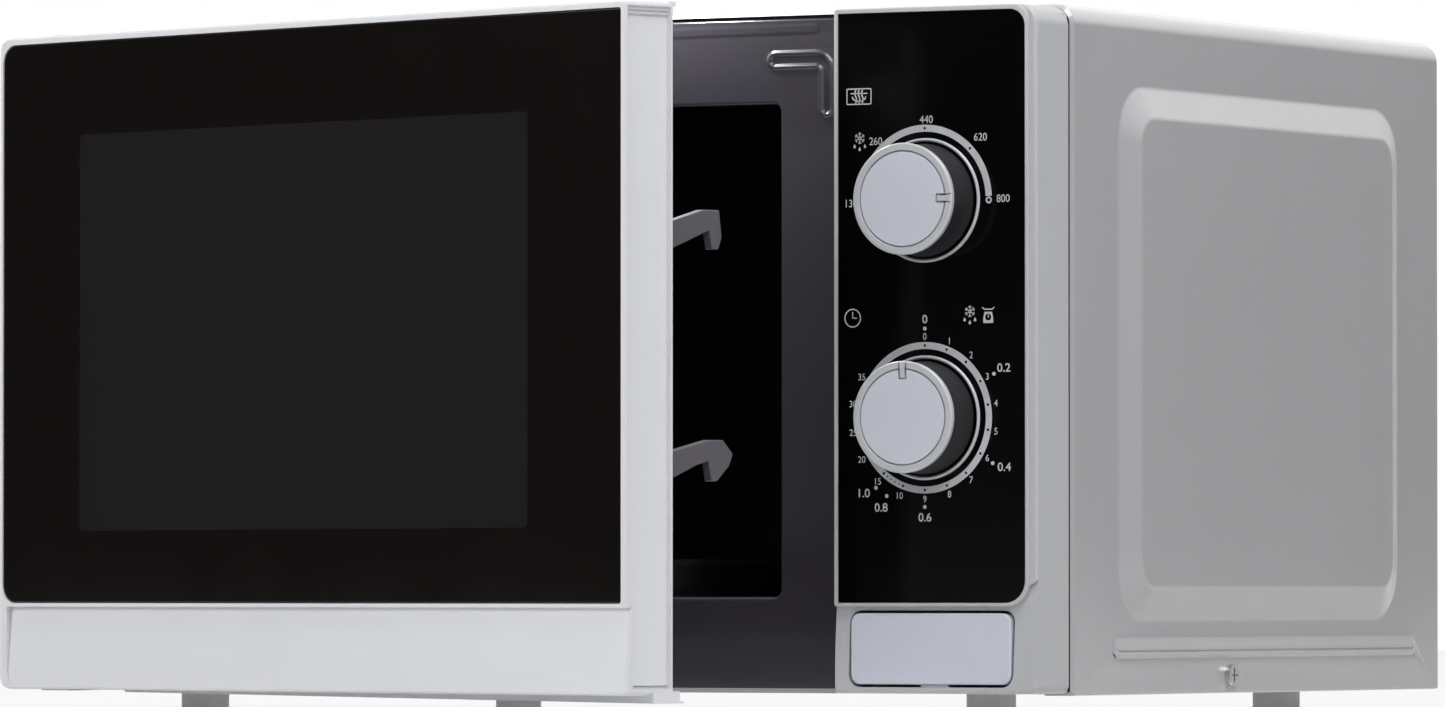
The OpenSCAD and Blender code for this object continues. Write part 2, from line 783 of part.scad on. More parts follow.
module cavity_liner() {
    color("dimgray") difference() {
        union() {
            along_y(cav_y0, cav_y1 + liner_t) cavity_box(liner_t);
            along_y(cav_y0, cav_y0 + liner_t) cavity_box(liner_t + liner_flange);
        }
        along_y(cav_y0 - over, cav_y1) cavity_box(0);
        translate([cav_cx, cav_cy, floor_z - 2]) cylinder(r = stem_r + 1.5, h = 4);
        box(cav_x1 - over, wall_x + over, guide_y0 + 36, guide_y0 + guide_len - 10, guide_z0 + 8, guide_z0 + guide_h - 8);
        for (i = [0:4], j = [0:4])
            bar_x(lamp_y - 10 + i * 5, lamp_z - 10 + j * 5, 1.4, cav_x1 - over, wall_x + over);
        for (i = [0:6], j = [0:3])
            bar_x(cav_y1 - 50 + i * 5, cav_z1 - 36 + j * 5, 1.4, cav_x0 - liner_t - over, cav_x0 + over);
    }
}

module waveguide() {
    color("silver") difference() {
        union() {
            box(wall_x, wall_x + guide_w, guide_y0, guide_y0 + guide_len, guide_z0, guide_z0 + guide_h);
            box(wall_x, wall_x + sheet_t, guide_y0 - 8, guide_y0 + guide_len + 8, guide_z0 - 7, guide_z0 + guide_h + 7);
        }
        box(wall_x - over, wall_x + guide_w - sheet_t, guide_y0 + sheet_t, guide_y0 + guide_len - sheet_t,
            guide_z0 + sheet_t, guide_z0 + guide_h - sheet_t);
        bar_x(mag_y, guide_cz, 10, wall_x + guide_w - 3, wall_x + guide_w + over);
    }
}

module waveguide_cover() {
    color("tan") along_x(cav_x1 - 0.5, cav_x1)
        rounded(guide_y0 + 28, guide_z0 + 2, guide_y0 + guide_len - 2, guide_z0 + guide_h - 2, same(3));
}

module cavity_lamp() {
    bulb_r = 10;
    neck_r = 6.5;
    color("white") translate([wall_x + 15, lamp_y, lamp_z]) rotate([0, 90, 0]) rotate_extrude() polygon(concat(
        [for (a = [-90:15:45]) [bulb_r * cos(a), bulb_r * sin(a)]],
        [[neck_r, 7.6], [neck_r, 16], [0, 16]]
    ));
}

module lamp_holder() {
    color("ivory") {
        difference() {
            box(wall_x + 27, wall_x + 39, lamp_y - lamp_half, lamp_y + lamp_half, lamp_z - lamp_half, lamp_z + lamp_half);
            bar_x(lamp_y, lamp_z, 6.9, wall_x + 26, wall_x + 31.5);
        }
        for (z = [lamp_z - lamp_half - 3, lamp_z + lamp_half]) box(wall_x, wall_x + 39, lamp_y - 5, lamp_y + 5, z, z + 3);
    }
}

module thermal_cutouts() {
    color("black") {
        translate([cav_x1 - 50, cav_cy + 30, cav_z1 + liner_t]) {
            cylinder(r = 11, h = 1);
            cylinder(r = 8, h = 8);
            for (x = [-3.5, 3.5]) translate([x - 0.4, -3, 7]) cube([0.8, 6, 6]);
        }
        translate([wall_x, cav_cy + 60, z_b + 120]) rotate([0, 90, 0]) {
            cylinder(r = 11, h = 1);
            cylinder(r = 8, h = 8);
            for (x = [-3.5, 3.5]) translate([x - 0.4, -3, 7]) cube([0.8, 6, 6]);
        }
    }
}

// ---------------------------------------------------------------- turntable

module turntable_motor() {
    color("silver") translate([cav_cx, cav_cy, 0]) difference() {
        union() {
            translate([0, 0, motor_z0 + 1]) cylinder(r = motor_r, h = motor_z1 - motor_z0 - 3);
            translate([0, 0, motor_z1 - 2]) cylinder(r = 8, h = 2);
            for (side = [-1, 1]) translate([side * (motor_r + 3), 0, motor_z0]) cylinder(r = 5, h = 3);
            translate([-motor_r - 3, -5, motor_z0]) cube([2 * motor_r + 6, 10, 2]);
        }
        translate([0, 0, motor_z1 - 10]) cylinder(r = stem_r * 0.6 + 0.05, h = 12);
    }
}

module drive_coupler() {
    head_z0 = floor_z + 1.5;
    color("white") translate([cav_cx, cav_cy, 0]) {
        translate([0, 0, motor_z1 - 8]) cylinder(r = stem_r * 0.6, h = 10);
        translate([0, 0, motor_z1 + seat]) cylinder(r = stem_r, h = head_z0 - motor_z1);
        translate([0, 0, head_z0]) cylinder(r = 9, h = tray_z0 - head_z0 - 4);
        for (i = [0:2]) rotate([0, 0, i * 120 + 60]) translate([0, -4, head_z0]) cube([17, 8, tray_z0 - head_z0 - seat]);
    }
}

module glass_tray() {
    wall = 4;
    color("lightcyan") translate([cav_cx, cav_cy, tray_z0]) {
        rotate_extrude($fn = 96) polygon([
            [0, 0], [tray_r - 8, 0], [tray_r, rim_h - 2], [tray_r, rim_h],
            [tray_r - wall, rim_h], [tray_r - 8 - wall + 1, tray_t], [0, tray_t]
        ]);
        for (i = [0:2]) rotate([0, 0, i * 120]) translate([9.6, -3, -4]) cube([6, 6, 4]);
    }
}

module roller_ring() {
    color("ivory") translate([cav_cx, cav_cy, 0]) {
        translate([0, 0, axle_z - 3.4]) difference() {
            cylinder(r = ring_x1, h = 6.8, $fn = 96);
            translate([0, 0, -over]) cylinder(r = ring_x0, h = 6.8 + 2 * over, $fn = 96);
        }
        for (i = [0:rollers - 1]) rotate([0, 0, 90 + i * 360 / rollers]) {
            bar_x(0, axle_z, axle_r, ring_x1 - over, track_r + roller_w / 2 + 2);
            bar_x(0, axle_z, axle_r + 1.2, ring_x1 - over, track_r - roller_w / 2 - seat);
            bar_x(0, axle_z, axle_r + 0.9, track_r + roller_w / 2 + seat, track_r + roller_w / 2 + 2);
        }
    }
}

module roller(i) {
    color("white") translate([cav_cx, cav_cy, 0]) rotate([0, 0, 90 + i * 360 / rollers]) difference() {
        bar_x(0, axle_z, roller_r, track_r - roller_w / 2, track_r + roller_w / 2);
        bar_x(0, axle_z, axle_r + axle_gap, track_r - roller_w, track_r + roller_w);
    }
}

// ---------------------------------------------------------------- electrics

module magnetron_body() {
    wall = 1.5;
    color("silver") {
        difference() {
            box(mag_x0, mag_x1, mag_y - mag_half_y, mag_y + mag_half_y, guide_cz - mag_half_z, guide_cz + mag_half_z);
            box(mag_x0 + wall, mag_x1 - wall, mag_y - mag_half_y + wall, mag_y + mag_half_y - wall,
                guide_cz - mag_half_z - over, guide_cz + mag_half_z + over);
        }
        bar_x(mag_y, guide_cz, 20, mag_x0 + 1, mag_x1 - 1);
        bar_x(mag_y, guide_cz, 8, mag_x0 - 22, mag_x0 + 2);
        difference() {
            bar_x(mag_y, guide_cz, 17, mag_x0 - 2, mag_x0 + 1);
            bar_x(mag_y, guide_cz, 12, mag_x0 - 4, mag_x0);
        }
    }
}

module magnetron_fins() {
    count = 7;
    step = (mag_x1 - mag_x0 - 12) / (count - 1);
    color("silver") for (i = [0:count - 1]) difference() {
        box(mag_x0 + 5.7 + i * step, mag_x0 + 6.3 + i * step, mag_y - mag_half_y + 2, mag_y + mag_half_y - 2,
            guide_cz - mag_half_z + 1, guide_cz + mag_half_z - 1);
        bar_x(mag_y, guide_cz, 20.05, mag_x0, mag_x1);
    }
}

module magnetron_filter_box() {
    half = mag_half_z - 3;
    color("gray") {
        box(mag_x1, filter_box_x1, mag_y - half, mag_y + half, guide_cz - half, guide_cz + half);
        for (y = [-6, 6])
            box(mag_x1 + 6, mag_x1 + 12, mag_y + y - 0.4, mag_y + y + 0.4, guide_cz - half - 10, guide_cz - half + 1);
        box(mag_x1 + 2, mag_x1 + 18, mag_y - 12, mag_y + 12, guide_cz - half - 3, guide_cz - half + 1);
    }
}

module transformer_core() {
    half_x = 37.5;
    half_y = 30;
    color("dimgray") difference() {
        union() {
            box(core_x - half_x, core_x + half_x, core_y - half_y, core_y + half_y, core_z0, core_z0 + core_h);
            box(core_x - half_x, core_x + half_x, core_y - half_y - 10, core_y + half_y + 10, core_z0, core_z0 + 2);
        }
        for (side = [-1, 1])
            box(core_x + side * 18.75 - 6.25, core_x + side * 18.75 + 6.25, core_y - half_y - over,
                core_y + half_y + over, core_z0 + 12.5, core_z0 + core_h - 12.5);
        for (x = [-30, 30], y = [-35, 35]) translate([core_x + x, core_y + y, core_z0 - over]) cylinder(r = 2.5, h = 5);
    }
}

module transformer_windings() {
    z0 = core_z0 + 12.5 + seat;
    z1 = core_z0 + core_h - 12.5 - seat;
    gap = (z1 - z0) / 2;
    color("sienna") for (band = [[z0, z0 + gap - 2], [z1 - gap + 2, z1]]) along_z(band[0], band[1]) difference() {
        rounded(core_x - 24.7, core_y - 44, core_x + 24.7, core_y + 44, same(10));
        rounded(core_x - 12.8, core_y - 30.3, core_x + 12.8, core_y + 30.3, same(1));
    }
}

module hv_capacitor() {
    x0 = core_x - 38;
    x1 = core_x + 34;
    color("silver") {
        along_x(x0, x1) slot(can_y - 25, base_z1 + 1.3, can_y + 25, base_z1 + 1.3 + can_h);
        for (y = [-8, 8]) {
            bar_x(can_y + y, base_z1 + 1.3 + can_h / 2, 4, x0 - 3, x0 + over);
            box(x0 - 9, x0 - 2, can_y + y - 3, can_y + y + 3, base_z1 + can_h / 2 + 0.9, base_z1 + can_h / 2 + 1.7);
        }
    }
}

module capacitor_clamp() {
    grip = 1;
    z0 = base_z1 + 1.3 - seat;
    z1 = base_z1 + 1.3 + can_h + seat;
    color("silver") along_x(core_x - 8, core_x + 8) difference() {
        union() {
            slot(can_y - 25 - seat - grip, z0 - grip, can_y + 25 + seat + grip, z1 + grip);
            translate([can_y - 31, base_z1]) square([62, grip]);
        }
        slot(can_y - 25 - seat, z0, can_y + 25 + seat, z1);
    }
}

module hv_diode() {
    z = base_z1 + 14;
    x0 = core_x - 26;
    y = core_y - 62;
    color("black") {
        bar_x(y, z, 3.5, x0, x0 + 20);
        bar_x(y, z, 0.6, x0 - 12, x0 + 32);
        for (x = [x0 - 12, x0 + 30]) box(x, x + 2, y - 3, y + 3, base_z1, z + 2);
    }
}

module fan_motor() {
    color("gray") difference() {
        union() {
            box(comp_x - 26, comp_x + 26, motor_plate_y, motor_plate_y + 14, fan_z - 26, fan_z + 26);
            bar_y(comp_x, fan_z, 9, motor_plate_y - 6, motor_plate_y + 20);
            box(comp_x - 20, comp_x + 20, motor_plate_y - 4, motor_plate_y + 13, fan_z - 46, fan_z - 20);
        }
        bar_y(comp_x, fan_z, fan_shaft_r + 0.04, motor_plate_y - 8, motor_plate_y + 22);
    }
}

module fan_duct() {
    in_r = fan_r + fan_gap;
    out_r = in_r + 2;
    color("white") {
        difference() {
            bar_y(comp_x, fan_z, out_r, fan_y0 - 2, rear_y0);
            bar_y(comp_x, fan_z, in_r, fan_y0 - 4, rear_y0 + over);
        }
        // four arms reach in behind the motor's corners
        for (a = [45:90:315]) translate([comp_x, 0, fan_z]) rotate([0, a, 0]) {
            box(30, out_r, motor_plate_y + 14, motor_plate_y + 17, -4, 4);
            box(in_r, out_r - 0.2, motor_plate_y + 14, fan_y0, -4, 4);
        }
    }
}

module fan_blade() {
    blades = 7;
    color("silver") {
        difference() {
            bar_y(comp_x, fan_z, fan_hub_r, fan_y0 + 3, fan_y1 - 1);
            bar_y(comp_x, fan_z, fan_shaft_r, fan_y0, fan_y1);
        }
        for (i = [0:blades - 1]) translate([comp_x, (fan_y0 + fan_y1) / 2 + 1, fan_z]) rotate([0, i * 360 / blades, 0])
            rotate([32, 0, 0]) box(fan_hub_r - 1, fan_r - 1, -0.5, 0.5, -8.5, 8.5);
    }
}

module fan_shaft() {
    color("silver") bar_y(comp_x, fan_z, fan_shaft_r, motor_plate_y - 9, fan_y1 - 1);
}

module filter_board() {
    y = rear_y0 - 14;
    z0 = z_b + 58;
    color("darkgreen") {
        box(comp_x - 42, comp_x + 42, y, y + 1.6, z0, z0 + 52);
        for (x = [-38, 38], z = [5, 47]) bar_y(comp_x + x, z0 + z, 3, y + 1.6, rear_y0);
        bar_y(comp_x - 20, z0 + 28, 12, y - 12, y);
        box(comp_x + 2, comp_x + 26, y - 14, y, z0 + 12, z0 + 40);
        box(comp_x - 38, comp_x - 34, y - 8, y, z0 + 10, z0 + 42);
    }
}

// ---------------------------------------------------------------- hinges and latch

module door_hinges() {
    half = arm_w / 2;
    color("silver") for (up = [false, true]) {
        z0 = up ? arm_up_z0 : arm_low_z0;
        plate_z0 = up ? arm_up_z1 - hinge_plate_h : arm_low_z0;
        box(pin_x - hinge_plate_out, pin_x + half, y_f - plate_t, y_f, plate_z0, plate_z0 + hinge_plate_h);
        box(pin_x - half, pin_x + half, pin_y, y_f, z0, z0 + arm_t);
        translate([pin_x, pin_y, z0]) cylinder(r = half, h = arm_t);
        translate([pin_x, pin_y, up ? z0 - pin_len : z0]) cylinder(r = pin_r, h = pin_len + arm_t);
    }
}

// Outlines of the two hooks in Y and Z, measured from the door's front plane and from the hook's tip
lower_hook = [
    [20, 8.8], [28.6, 10.8], [45.5, 14.7], [52.1, 14.7], [56.8, 9.8], [55, 5.5],
    [49.2, 0], [46.6, 0], [45.1, 7.1], [39.6, 5.7], [29, 1.4], [20, -1.6]
];
upper_hook = [
    [20, 7.7], [28.5, 10.1], [42.4, 14], [50.2, 14], [51.4, 4.3],
    [49.8, 0], [46.8, 0], [45.3, 6.6], [28.8, 0.3], [20, -3]
];

module latch_hook() {
    color("dimgray") door_pose() {
        box(hook_x0, hook_x1, bar_y0, bar_y1, bar_z0, bar_z1);
        along_x(hook_x0, hook_x1) {
            translate([y_p, low_tip_z]) polygon([for (p = lower_hook) [p[0] == 20 ? 19 : p[0], p[1]]]);
            translate([y_p, up_tip_z]) polygon([for (p = upper_hook) [p[0] == 20 ? 19 : p[0], p[1]]]);
        }
    }
}

module latch_spring() {
    color("silver") door_pose() translate([hook_cx, (bar_y0 + bar_y1) / 2, shelf_z1 + seat])
        coil(3.2, 0.45, 8, spring_len);
}

module latch_board() {
    color("ivory") {
        box(board_x0, board_x1, board_y0, board_y1, board_z0, board_z1);
        box(board_x0, board_x1, board_y0, y_f + 16, lever_z - 8, board_z0 + over);
        box(board_x1 - over, board_x1 + 5.5, board_y0, board_y0 + 2, board_z0 + 8, board_z1);
        box(hook_x0 - 0.5, board_x0 + over, y_p + 38, y_p + 44.5, up_tip_z - tip_gap - 5, up_tip_z - tip_gap);
        bar_x(lever_y, lever_z, lever_pin_r, lever_x0 - 0.5, board_x0 + over);
        bar_x(switch_y, switch_z, switch_pin_r, lever_x0 + 0.5, board_x0 + over);
        for (z = micro_z, p = peg_at) bar_x(micro_y0 + p[0], z + p[1], peg_r, board_x1 - over, board_x1 + 9.5);
    }
}

module interlock_switches() {
    color("black") for (z = micro_z) difference() {
        union() {
            box(board_x1, board_x1 + micro[0], micro_y0, micro_y0 + micro[1], z, z + micro[2]);
            for (t = [3, 12, 21]) box(board_x1 + 3, board_x1 + 7, micro_y0 + 15, micro_y0 + 24, z + t, z + t + 0.8);
            box(board_x1 + 3, board_x1 + 7, micro_y0 - 1.2, micro_y0 + over, z + 18, z + 21);
        }
        for (p = peg_at) bar_x(micro_y0 + p[0], z + p[1], peg_r + 0.1, board_x1 - over, board_x1 + micro[0] + over);
    }
}

module door_open_lever() {
    foot_y0 = plunger_y1 + seat;
    color("white") difference() {
        union() {
            bar_x(lever_y, lever_z, lever_pin_r + 3, lever_x0, lever_x1);
            along_x(lever_x0, lever_x1) translate([lever_y, lever_z]) {
                polygon([[-4, 0], [8.5, 30], [10, 33.9], [22, 33.9], [22, 30.5], [14, 29], [4.5, -1]]);
                polygon([[-4.5, 0], [foot_y0 - lever_y, -18], [foot_y0 - lever_y, -30], [-1, -30], [-1, -18], [3.5, 0]]);
            }
            box(lever_x0, plunger_x + plunger_r, foot_y0, lever_y - 1, lever_z - 30, lever_z - 19);
        }
        bar_x(lever_y, lever_z, lever_pin_r + 0.05, lever_x0 - over, lever_x1 + over);
    }
}

module switch_lever() {
    color("white") difference() {
        union() {
            bar_x(switch_y, switch_z, switch_pin_r + 2.5, lever_x0 + 1, lever_x1);
            along_x(lever_x0 + 1, lever_x1) translate([switch_y, switch_z]) {
                polygon([[-4.5, 0], [-4.7, -30], [-2, -30], [2, -3]]);
                polygon([[-2, 2], [1, 14], [4, 14], [4.5, 0]]);
            }
        }
        bar_x(switch_y, switch_z, switch_pin_r + 0.05, lever_x0, lever_x1 + over);
    }
}

// ---------------------------------------------------------------- control panel

module control_panel() {
    bore_y0 = rear_wall_y - over;
    color("gainsboro") difference() {
        union() {
            along_y(y_p + pad_h, panel_y1) rounded(panel_x0, panel_z0, panel_x1, panel_z1, [1, 3, door_corner, 1]);
            along_y(y_p, y_p + pad_h + over / 2) rounded(panel_x0, pad_z0, pad_x1, panel_z1, [1, 8.5, 6, 1]);
        }
        along_y(y_p - over, face_y1)
            rounded(face_x0 - 0.2, face_z0 - 0.2, face_x1 + 0.2, face_z1 + 0.2, [0.7, 8.2, 6.2, 0.7]);
        // hollow behind the plate
        difference() {
            box(panel_x0 + panel_wall, panel_x1 - panel_wall, front_y1, panel_y1 + over, shelf_z + 2, panel_z1 - panel_wall);
            for (x = screw_boss_x, z = screw_boss_z) bar_y(x, z, screw_boss_r, front_y1 - over, panel_y1 + 2 * over);
            for (p = unit_posts()) bar_y(p[0], p[1], unit_post_r, front_y1 - over, unit_y0);
            box(panel_x1 - 12, panel_x1, panel_y1 - 12, panel_y1 + 2 * over, z_t - 10, z_t);
        }
        // hollow behind the push button
        box(panel_x0 + panel_wall, panel_x1 - panel_wall, front_y1, rear_wall_y, panel_z0 + panel_wall, shelf_z - 2);
        along_y(y_p - over, front_y1 + over) rounded(button_x0 - button_gap, button_z0 - button_gap,
            button_x1 + button_gap, button_z1 + button_gap, same(button_r + button_gap));
        for (z = [timer_z, power_z]) bar_y(knob_x, z, shaft_r + 1, y_p - over, front_y1 + over);
        bar_y(plunger_x, plunger_z, plunger_r + plunger_gap, bore_y0, panel_y1 + over);
        for (x = screw_boss_x, z = screw_boss_z) bar_y(x, z, screw_r + 0.1, panel_y1 - 10, panel_y1 + over);
        for (p = unit_posts()) bar_y(p[0], p[1], 1.2, front_y1 + 1, unit_y0 + over);
    }
    // bosses reach the front frame, so the panel is screwed up without a gap
    color("gainsboro") for (x = screw_boss_x, z = screw_boss_z) difference() {
        bar_y(x, z, screw_boss_r, panel_y1 - 2, y_f);
        bar_y(x, z, screw_r + 0.1, panel_y1 - 4, y_f + over);
    }
    // finger tab under the push button
    color("gainsboro") box(button_x0 + 28.7, button_x0 + 40, y_p + pad_h, front_y1, panel_z0 + 1, button_z0 - 0.35);
}

// Posts that carry the timer and the power control
function unit_posts() = [
    for (u = [[timer_z, timer_half], [power_z, power_half]], s = [-1, 1])
        [knob_x + s * (u[1][0] - 5), u[0] + s * (u[1][1] + 1)]
];

module control_plate() {
    color("black") along_y(face_y0, face_y1) difference() {
        rounded(face_x0, face_z0, face_x1, face_z1, [0.5, 8, 6, 0.5]);
        for (z = [timer_z, power_z]) translate([knob_x, z]) circle(r = shaft_r + 1.5);
    }
}

module knob_base_rings() {
    color("silver") for (z = [timer_z, power_z]) difference() {
        bar_y(knob_x, z, ring_r, face_y0 - 0.8, face_y0);
        bar_y(knob_x, z, ring_r - ring_w, face_y0 - 2, face_y0 + over);
    }
}

module movement(z, half, depth) {
    difference() {
        union() {
            box(knob_x - half[0], knob_x + half[0], unit_y0 + 1.5, unit_y0 + depth, z - half[1] + 6, z + half[1] - 6);
            box(knob_x - half[0], knob_x + half[0], unit_y0, unit_y0 + 1.5, z - half[1] - 5, z + half[1] + 5);
            for (t = [0:3]) box(knob_x - 16 + t * 9, knob_x - 12 + t * 9, unit_y0 + depth - over,
                unit_y0 + depth + 7, z - half[1] + 9, z - half[1] + 9.8);
        }
        bar_y(knob_x, z, shaft_r + shaft_gap, unit_y0 - over, unit_y0 + shaft_in + over);
    }
}

module timer_unit() {
    color("white") difference() {
        movement(timer_z, timer_half, timer_d);
        bar_y(knob_x, timer_z, 2.05, unit_y0 + timer_d - 4, unit_y0 + timer_d + over);
    }
}

module timer_bell() {
    y = unit_y0 + timer_d;
    color("silver") {
        difference() {
            bar_y(knob_x, timer_z, 19, y + 1, y + 10);
            bar_y(knob_x, timer_z, 18, y, y + 9);
            bar_y(knob_x, timer_z, 30, y, y + 1.5);
            box(knob_x - 20, knob_x + 20, y, y + 11, timer_z - 30, timer_z - 11);
        }
        bar_y(knob_x, timer_z, 2, y - 3.5, y + 9.5);
    }
}

module power_control_unit() {
    color("white") movement(power_z, power_half, power_d);
}

module knob_skirt(z, turn) {
    wall = 2;
    color("black") translate([knob_x, 0, z]) rotate([0, turn, 0]) difference() {
        union() {
            difference() {
                translate([0, skirt_y1, 0]) rotate([90, 0, 0])
                    cylinder(r1 = skirt_r, r2 = knob_r - 0.4, h = skirt_y1 - skirt_y0);
                bar_y(0, 0, knob_r - 0.4 - wall, skirt_y0 + wall, skirt_y1 + over);
            }
            bar_y(0, 0, shaft_r + 3.5, skirt_y0 + wall / 2, skirt_y1);
            for (a = [0:90:270]) rotate([0, a, 0])
                box(shaft_r + 2, knob_r - wall, skirt_y0 + wall / 2, skirt_y1 - 4, -0.8, 0.8);
        }
        intersection() {
            bar_y(0, 0, shaft_r + shaft_gap, skirt_y0 + wall, skirt_y1 + over);
            box(-shaft_r - over, flat_d + shaft_gap, skirt_y0, skirt_y1 + 2, -shaft_r - over, shaft_r + over);
        }
    }
}

module knob_cap(z, turn) {
    disc_r = knob_r - 2.8;
    color("lightgray") translate([knob_x, 0, z]) rotate([0, turn, 0]) {
        difference() {
            bar_y(0, 0, knob_r, knob_y0, skirt_y0);
            difference() {
                bar_y(0, 0, disc_r + 0.4, knob_y0 - over, knob_y0 + 1);
                bar_y(0, 0, disc_r, knob_y0 - 2 * over, knob_y0 + 2);
            }
            bar_y(0, 0, disc_r + 0.2, knob_y0 - over, knob_y0 + 0.3);
        }
        box(disc_r - 2.6, disc_r + 0.8, knob_y0, knob_y0 + 1.5, -2.05, 2.05);
    }
}

module knob_shaft(z, turn) {
    front = skirt_y0 + 2.5;
    back = unit_y0 + shaft_in;
    color("silver") translate([knob_x, 0, z]) rotate([0, turn, 0]) difference() {
        bar_y(0, 0, shaft_r, front, back);
        box(flat_d, shaft_r + over, front - over, skirt_y1 + 2, -shaft_r - over, shaft_r + over);
    }
}

// The timer's pointer stands up and the power knob's points right; turn 0 points right
timer_turn = -90;
power_turn = 0;

module door_button() {
    color("lightsteelblue") {
        difference() {
            along_y(button_y0, button_y1) rounded(button_x0, button_z0, button_x1, button_z1, same(button_r));
            along_y(button_y0 + 2, button_y1 + over)
                rounded(button_x0 + 1.8, button_z0 + 1.8, button_x1 - 1.8, button_z1 - 1.8, same(button_r - 1.7));
        }
        for (x = [button_x0 + 22, button_x0 + 43]) box(x, x + 1.5, button_y0 + over, button_y1, button_z0 + over, button_z1 - over);
        bar_y(plunger_x, plunger_z, plunger_r, button_y0 + over, plunger_y1);
        difference() {
            bar_y(plunger_x, plunger_z, collar_r, button_y0 + over, button_y1 + 0.5);
            box(button_x0 - collar_r, button_x0, button_y0, button_y1 + 1, button_z0, button_z1);
        }
    }
}

module button_spring() {
    y0 = button_y1 + 0.5 + seat;
    y1 = rear_wall_y - seat;
    color("silver") translate([plunger_x, y0, plunger_z]) rotate([-90, 0, 0]) coil(5.4, 0.5, 6, y1 - y0);
}

// ---------------------------------------------------------------- door

module door_frame() {
    color("whitesmoke") door_pose() difference() {
        union() {
            difference() {
                intersection() {
                    along_y(y_p, y_p + door_depth)
                        rounded(door_x0, door_z0, door_x1, door_z1, [door_corner, 3, 3, door_corner]);
                    along_z(door_z0 - over, door_z1 + over) rounded(door_x0, y_p, door_x1, y_p + door_depth,
                        [front_corner_r, 1, 1, rear_corner_r]);
                }
                // hollow behind the web
                along_y(web_y1, y_p + door_depth + over) rounded(door_x0 + door_wall, door_z0 + door_wall,
                    door_x1 - door_wall, door_z1 - door_wall, [4, 1, 1, 4]);
                // seat of the glass and the window through the web
                along_y(y_p - over, web_y0) rounded(glass_x0 - seat, glass_z0 - seat, glass_x1 + seat,
                    glass_z1 + seat, [glass_r, 1.3, 1.3, glass_r]);
                along_y(y_p - over, web_y1 + over) rounded(win_x0 - 5, win_z0 - 4, win_x1 + 5, win_z1 + 3, same(win_r));
                // plain strip below the glass
                box(door_x0 - over, door_x1 - 1.5, y_p - over, y_p + strip_in, door_z0 - over, glass_z0 - lip_top);
                // recess along the right side
                box(door_x1 - 1.2, door_x1 + over, y_p + 3, y_p + door_depth - 2, door_z0 + 2, door_z1 - 2);
            }
            // bosses for the hinge pins, each on two ribs
            for (z0 = [arm_up_z0 - seat - boss_h, arm_low_z1 + seat]) {
                translate([pin_x, pin_y, z0]) cylinder(r = boss_r, h = boss_h);
                box(pin_x - 1.5, pin_x + 1.5, web_y1 - over / 2, pin_y, z0, z0 + boss_h);
                box(door_x0 + 1, pin_x, pin_y - 1.5, pin_y + 1.5, z0, z0 + boss_h);
            }
            // posts that carry the inner panel
            for (x = [inner_x0 + 9, inner_x1 - 9], z = [inner_z0 + 14, inner_z1 - 14])
                bar_y(x, z, post_r, web_y1 - over / 2, inner_y0 - seat);
            // guides of the hook piece, with lugs that hold it in
            for (z = hook_guide_z, x = [hook_x0 - seat - guide_wall, hook_x1 + seat])
                box(x, x + guide_wall, web_y1 - over / 2, bar_y1 + 1.6, z, z + guide_h2);
            for (z = hook_guide_z)
                box(hook_x0 - seat - guide_wall, hook_x0 + 1, bar_y1 + seat, bar_y1 + 1.6, z, z + guide_h2);
            // shelf under the hook piece's spring
            box(hook_x0 - 3, hook_x1 + 2, web_y1 - over / 2, bar_y1 - 1, shelf_z1 - 2, shelf_z1);
        }
        // bores for the pins
        translate([pin_x, pin_y, arm_up_z0 - boss_h + 1]) cylinder(r = pin_r + pin_gap, h = boss_h + over);
        translate([pin_x, pin_y, arm_low_z1 - over]) cylinder(r = pin_r + pin_gap, h = boss_h);
        // notches through which the arms reach in
        for (z0 = [arm_up_z0, arm_low_z0])
            box(door_x0 - over, door_x0 + door_wall + over, y_p + 4, y_p + door_depth + over, z0 - 1, z0 + arm_t + 1);
    }
}

module door_glass() {
    color("black") door_pose() along_y(glass_y0, glass_y1)
        rounded(glass_x0, glass_z0, glass_x1, glass_z1, [glass_r, 1, 1, glass_r]);
}

module inner_outline(in) {
    rounded(inner_x0 + in, inner_z0 + in, inner_x1 - in, inner_z1 - in, same(inner_r));
}

module window_outline(out) {
    rounded(win_x0 - out, win_z0 - out, win_x1 + out, win_z1 + out, same(win_r + max(out, 0)));
}

module door_inner_panel() {
    color("dimgray") door_pose() {
        along_y(inner_y0, inner_y0 + inner_t) difference() {
            inner_outline(0);
            window_outline(0);
        }
        along_y(inner_y0, inner_y1) difference() {
            inner_outline(0);
            inner_outline(inner_t);
        }
        along_y(inner_y0, ledge_y0) difference() {
            window_outline(inner_t);
            window_outline(0);
        }
        along_y(ledge_y0 - inner_t, ledge_y0) difference() {
            window_outline(12);
            window_outline(0);
        }
    }
}

module door_screen() {
    color("gray") door_pose() along_y(screen_y0, inner_y0) window_outline(4);
}

module window_film() {
    color("lightcyan") door_pose() along_y(ledge_y0 + seat, ledge_y0 + seat + film_t) window_outline(9);
}

module choke_cover() {
    color("black") door_pose() {
        along_y(choke_y0, choke_y1) difference() {
            inner_outline(0);
            window_outline(6);
        }
        along_y(ledge_y0 + seat, choke_y0 + over / 2) difference() {
            window_outline(11.5);
            window_outline(9.8);
        }
    }
}

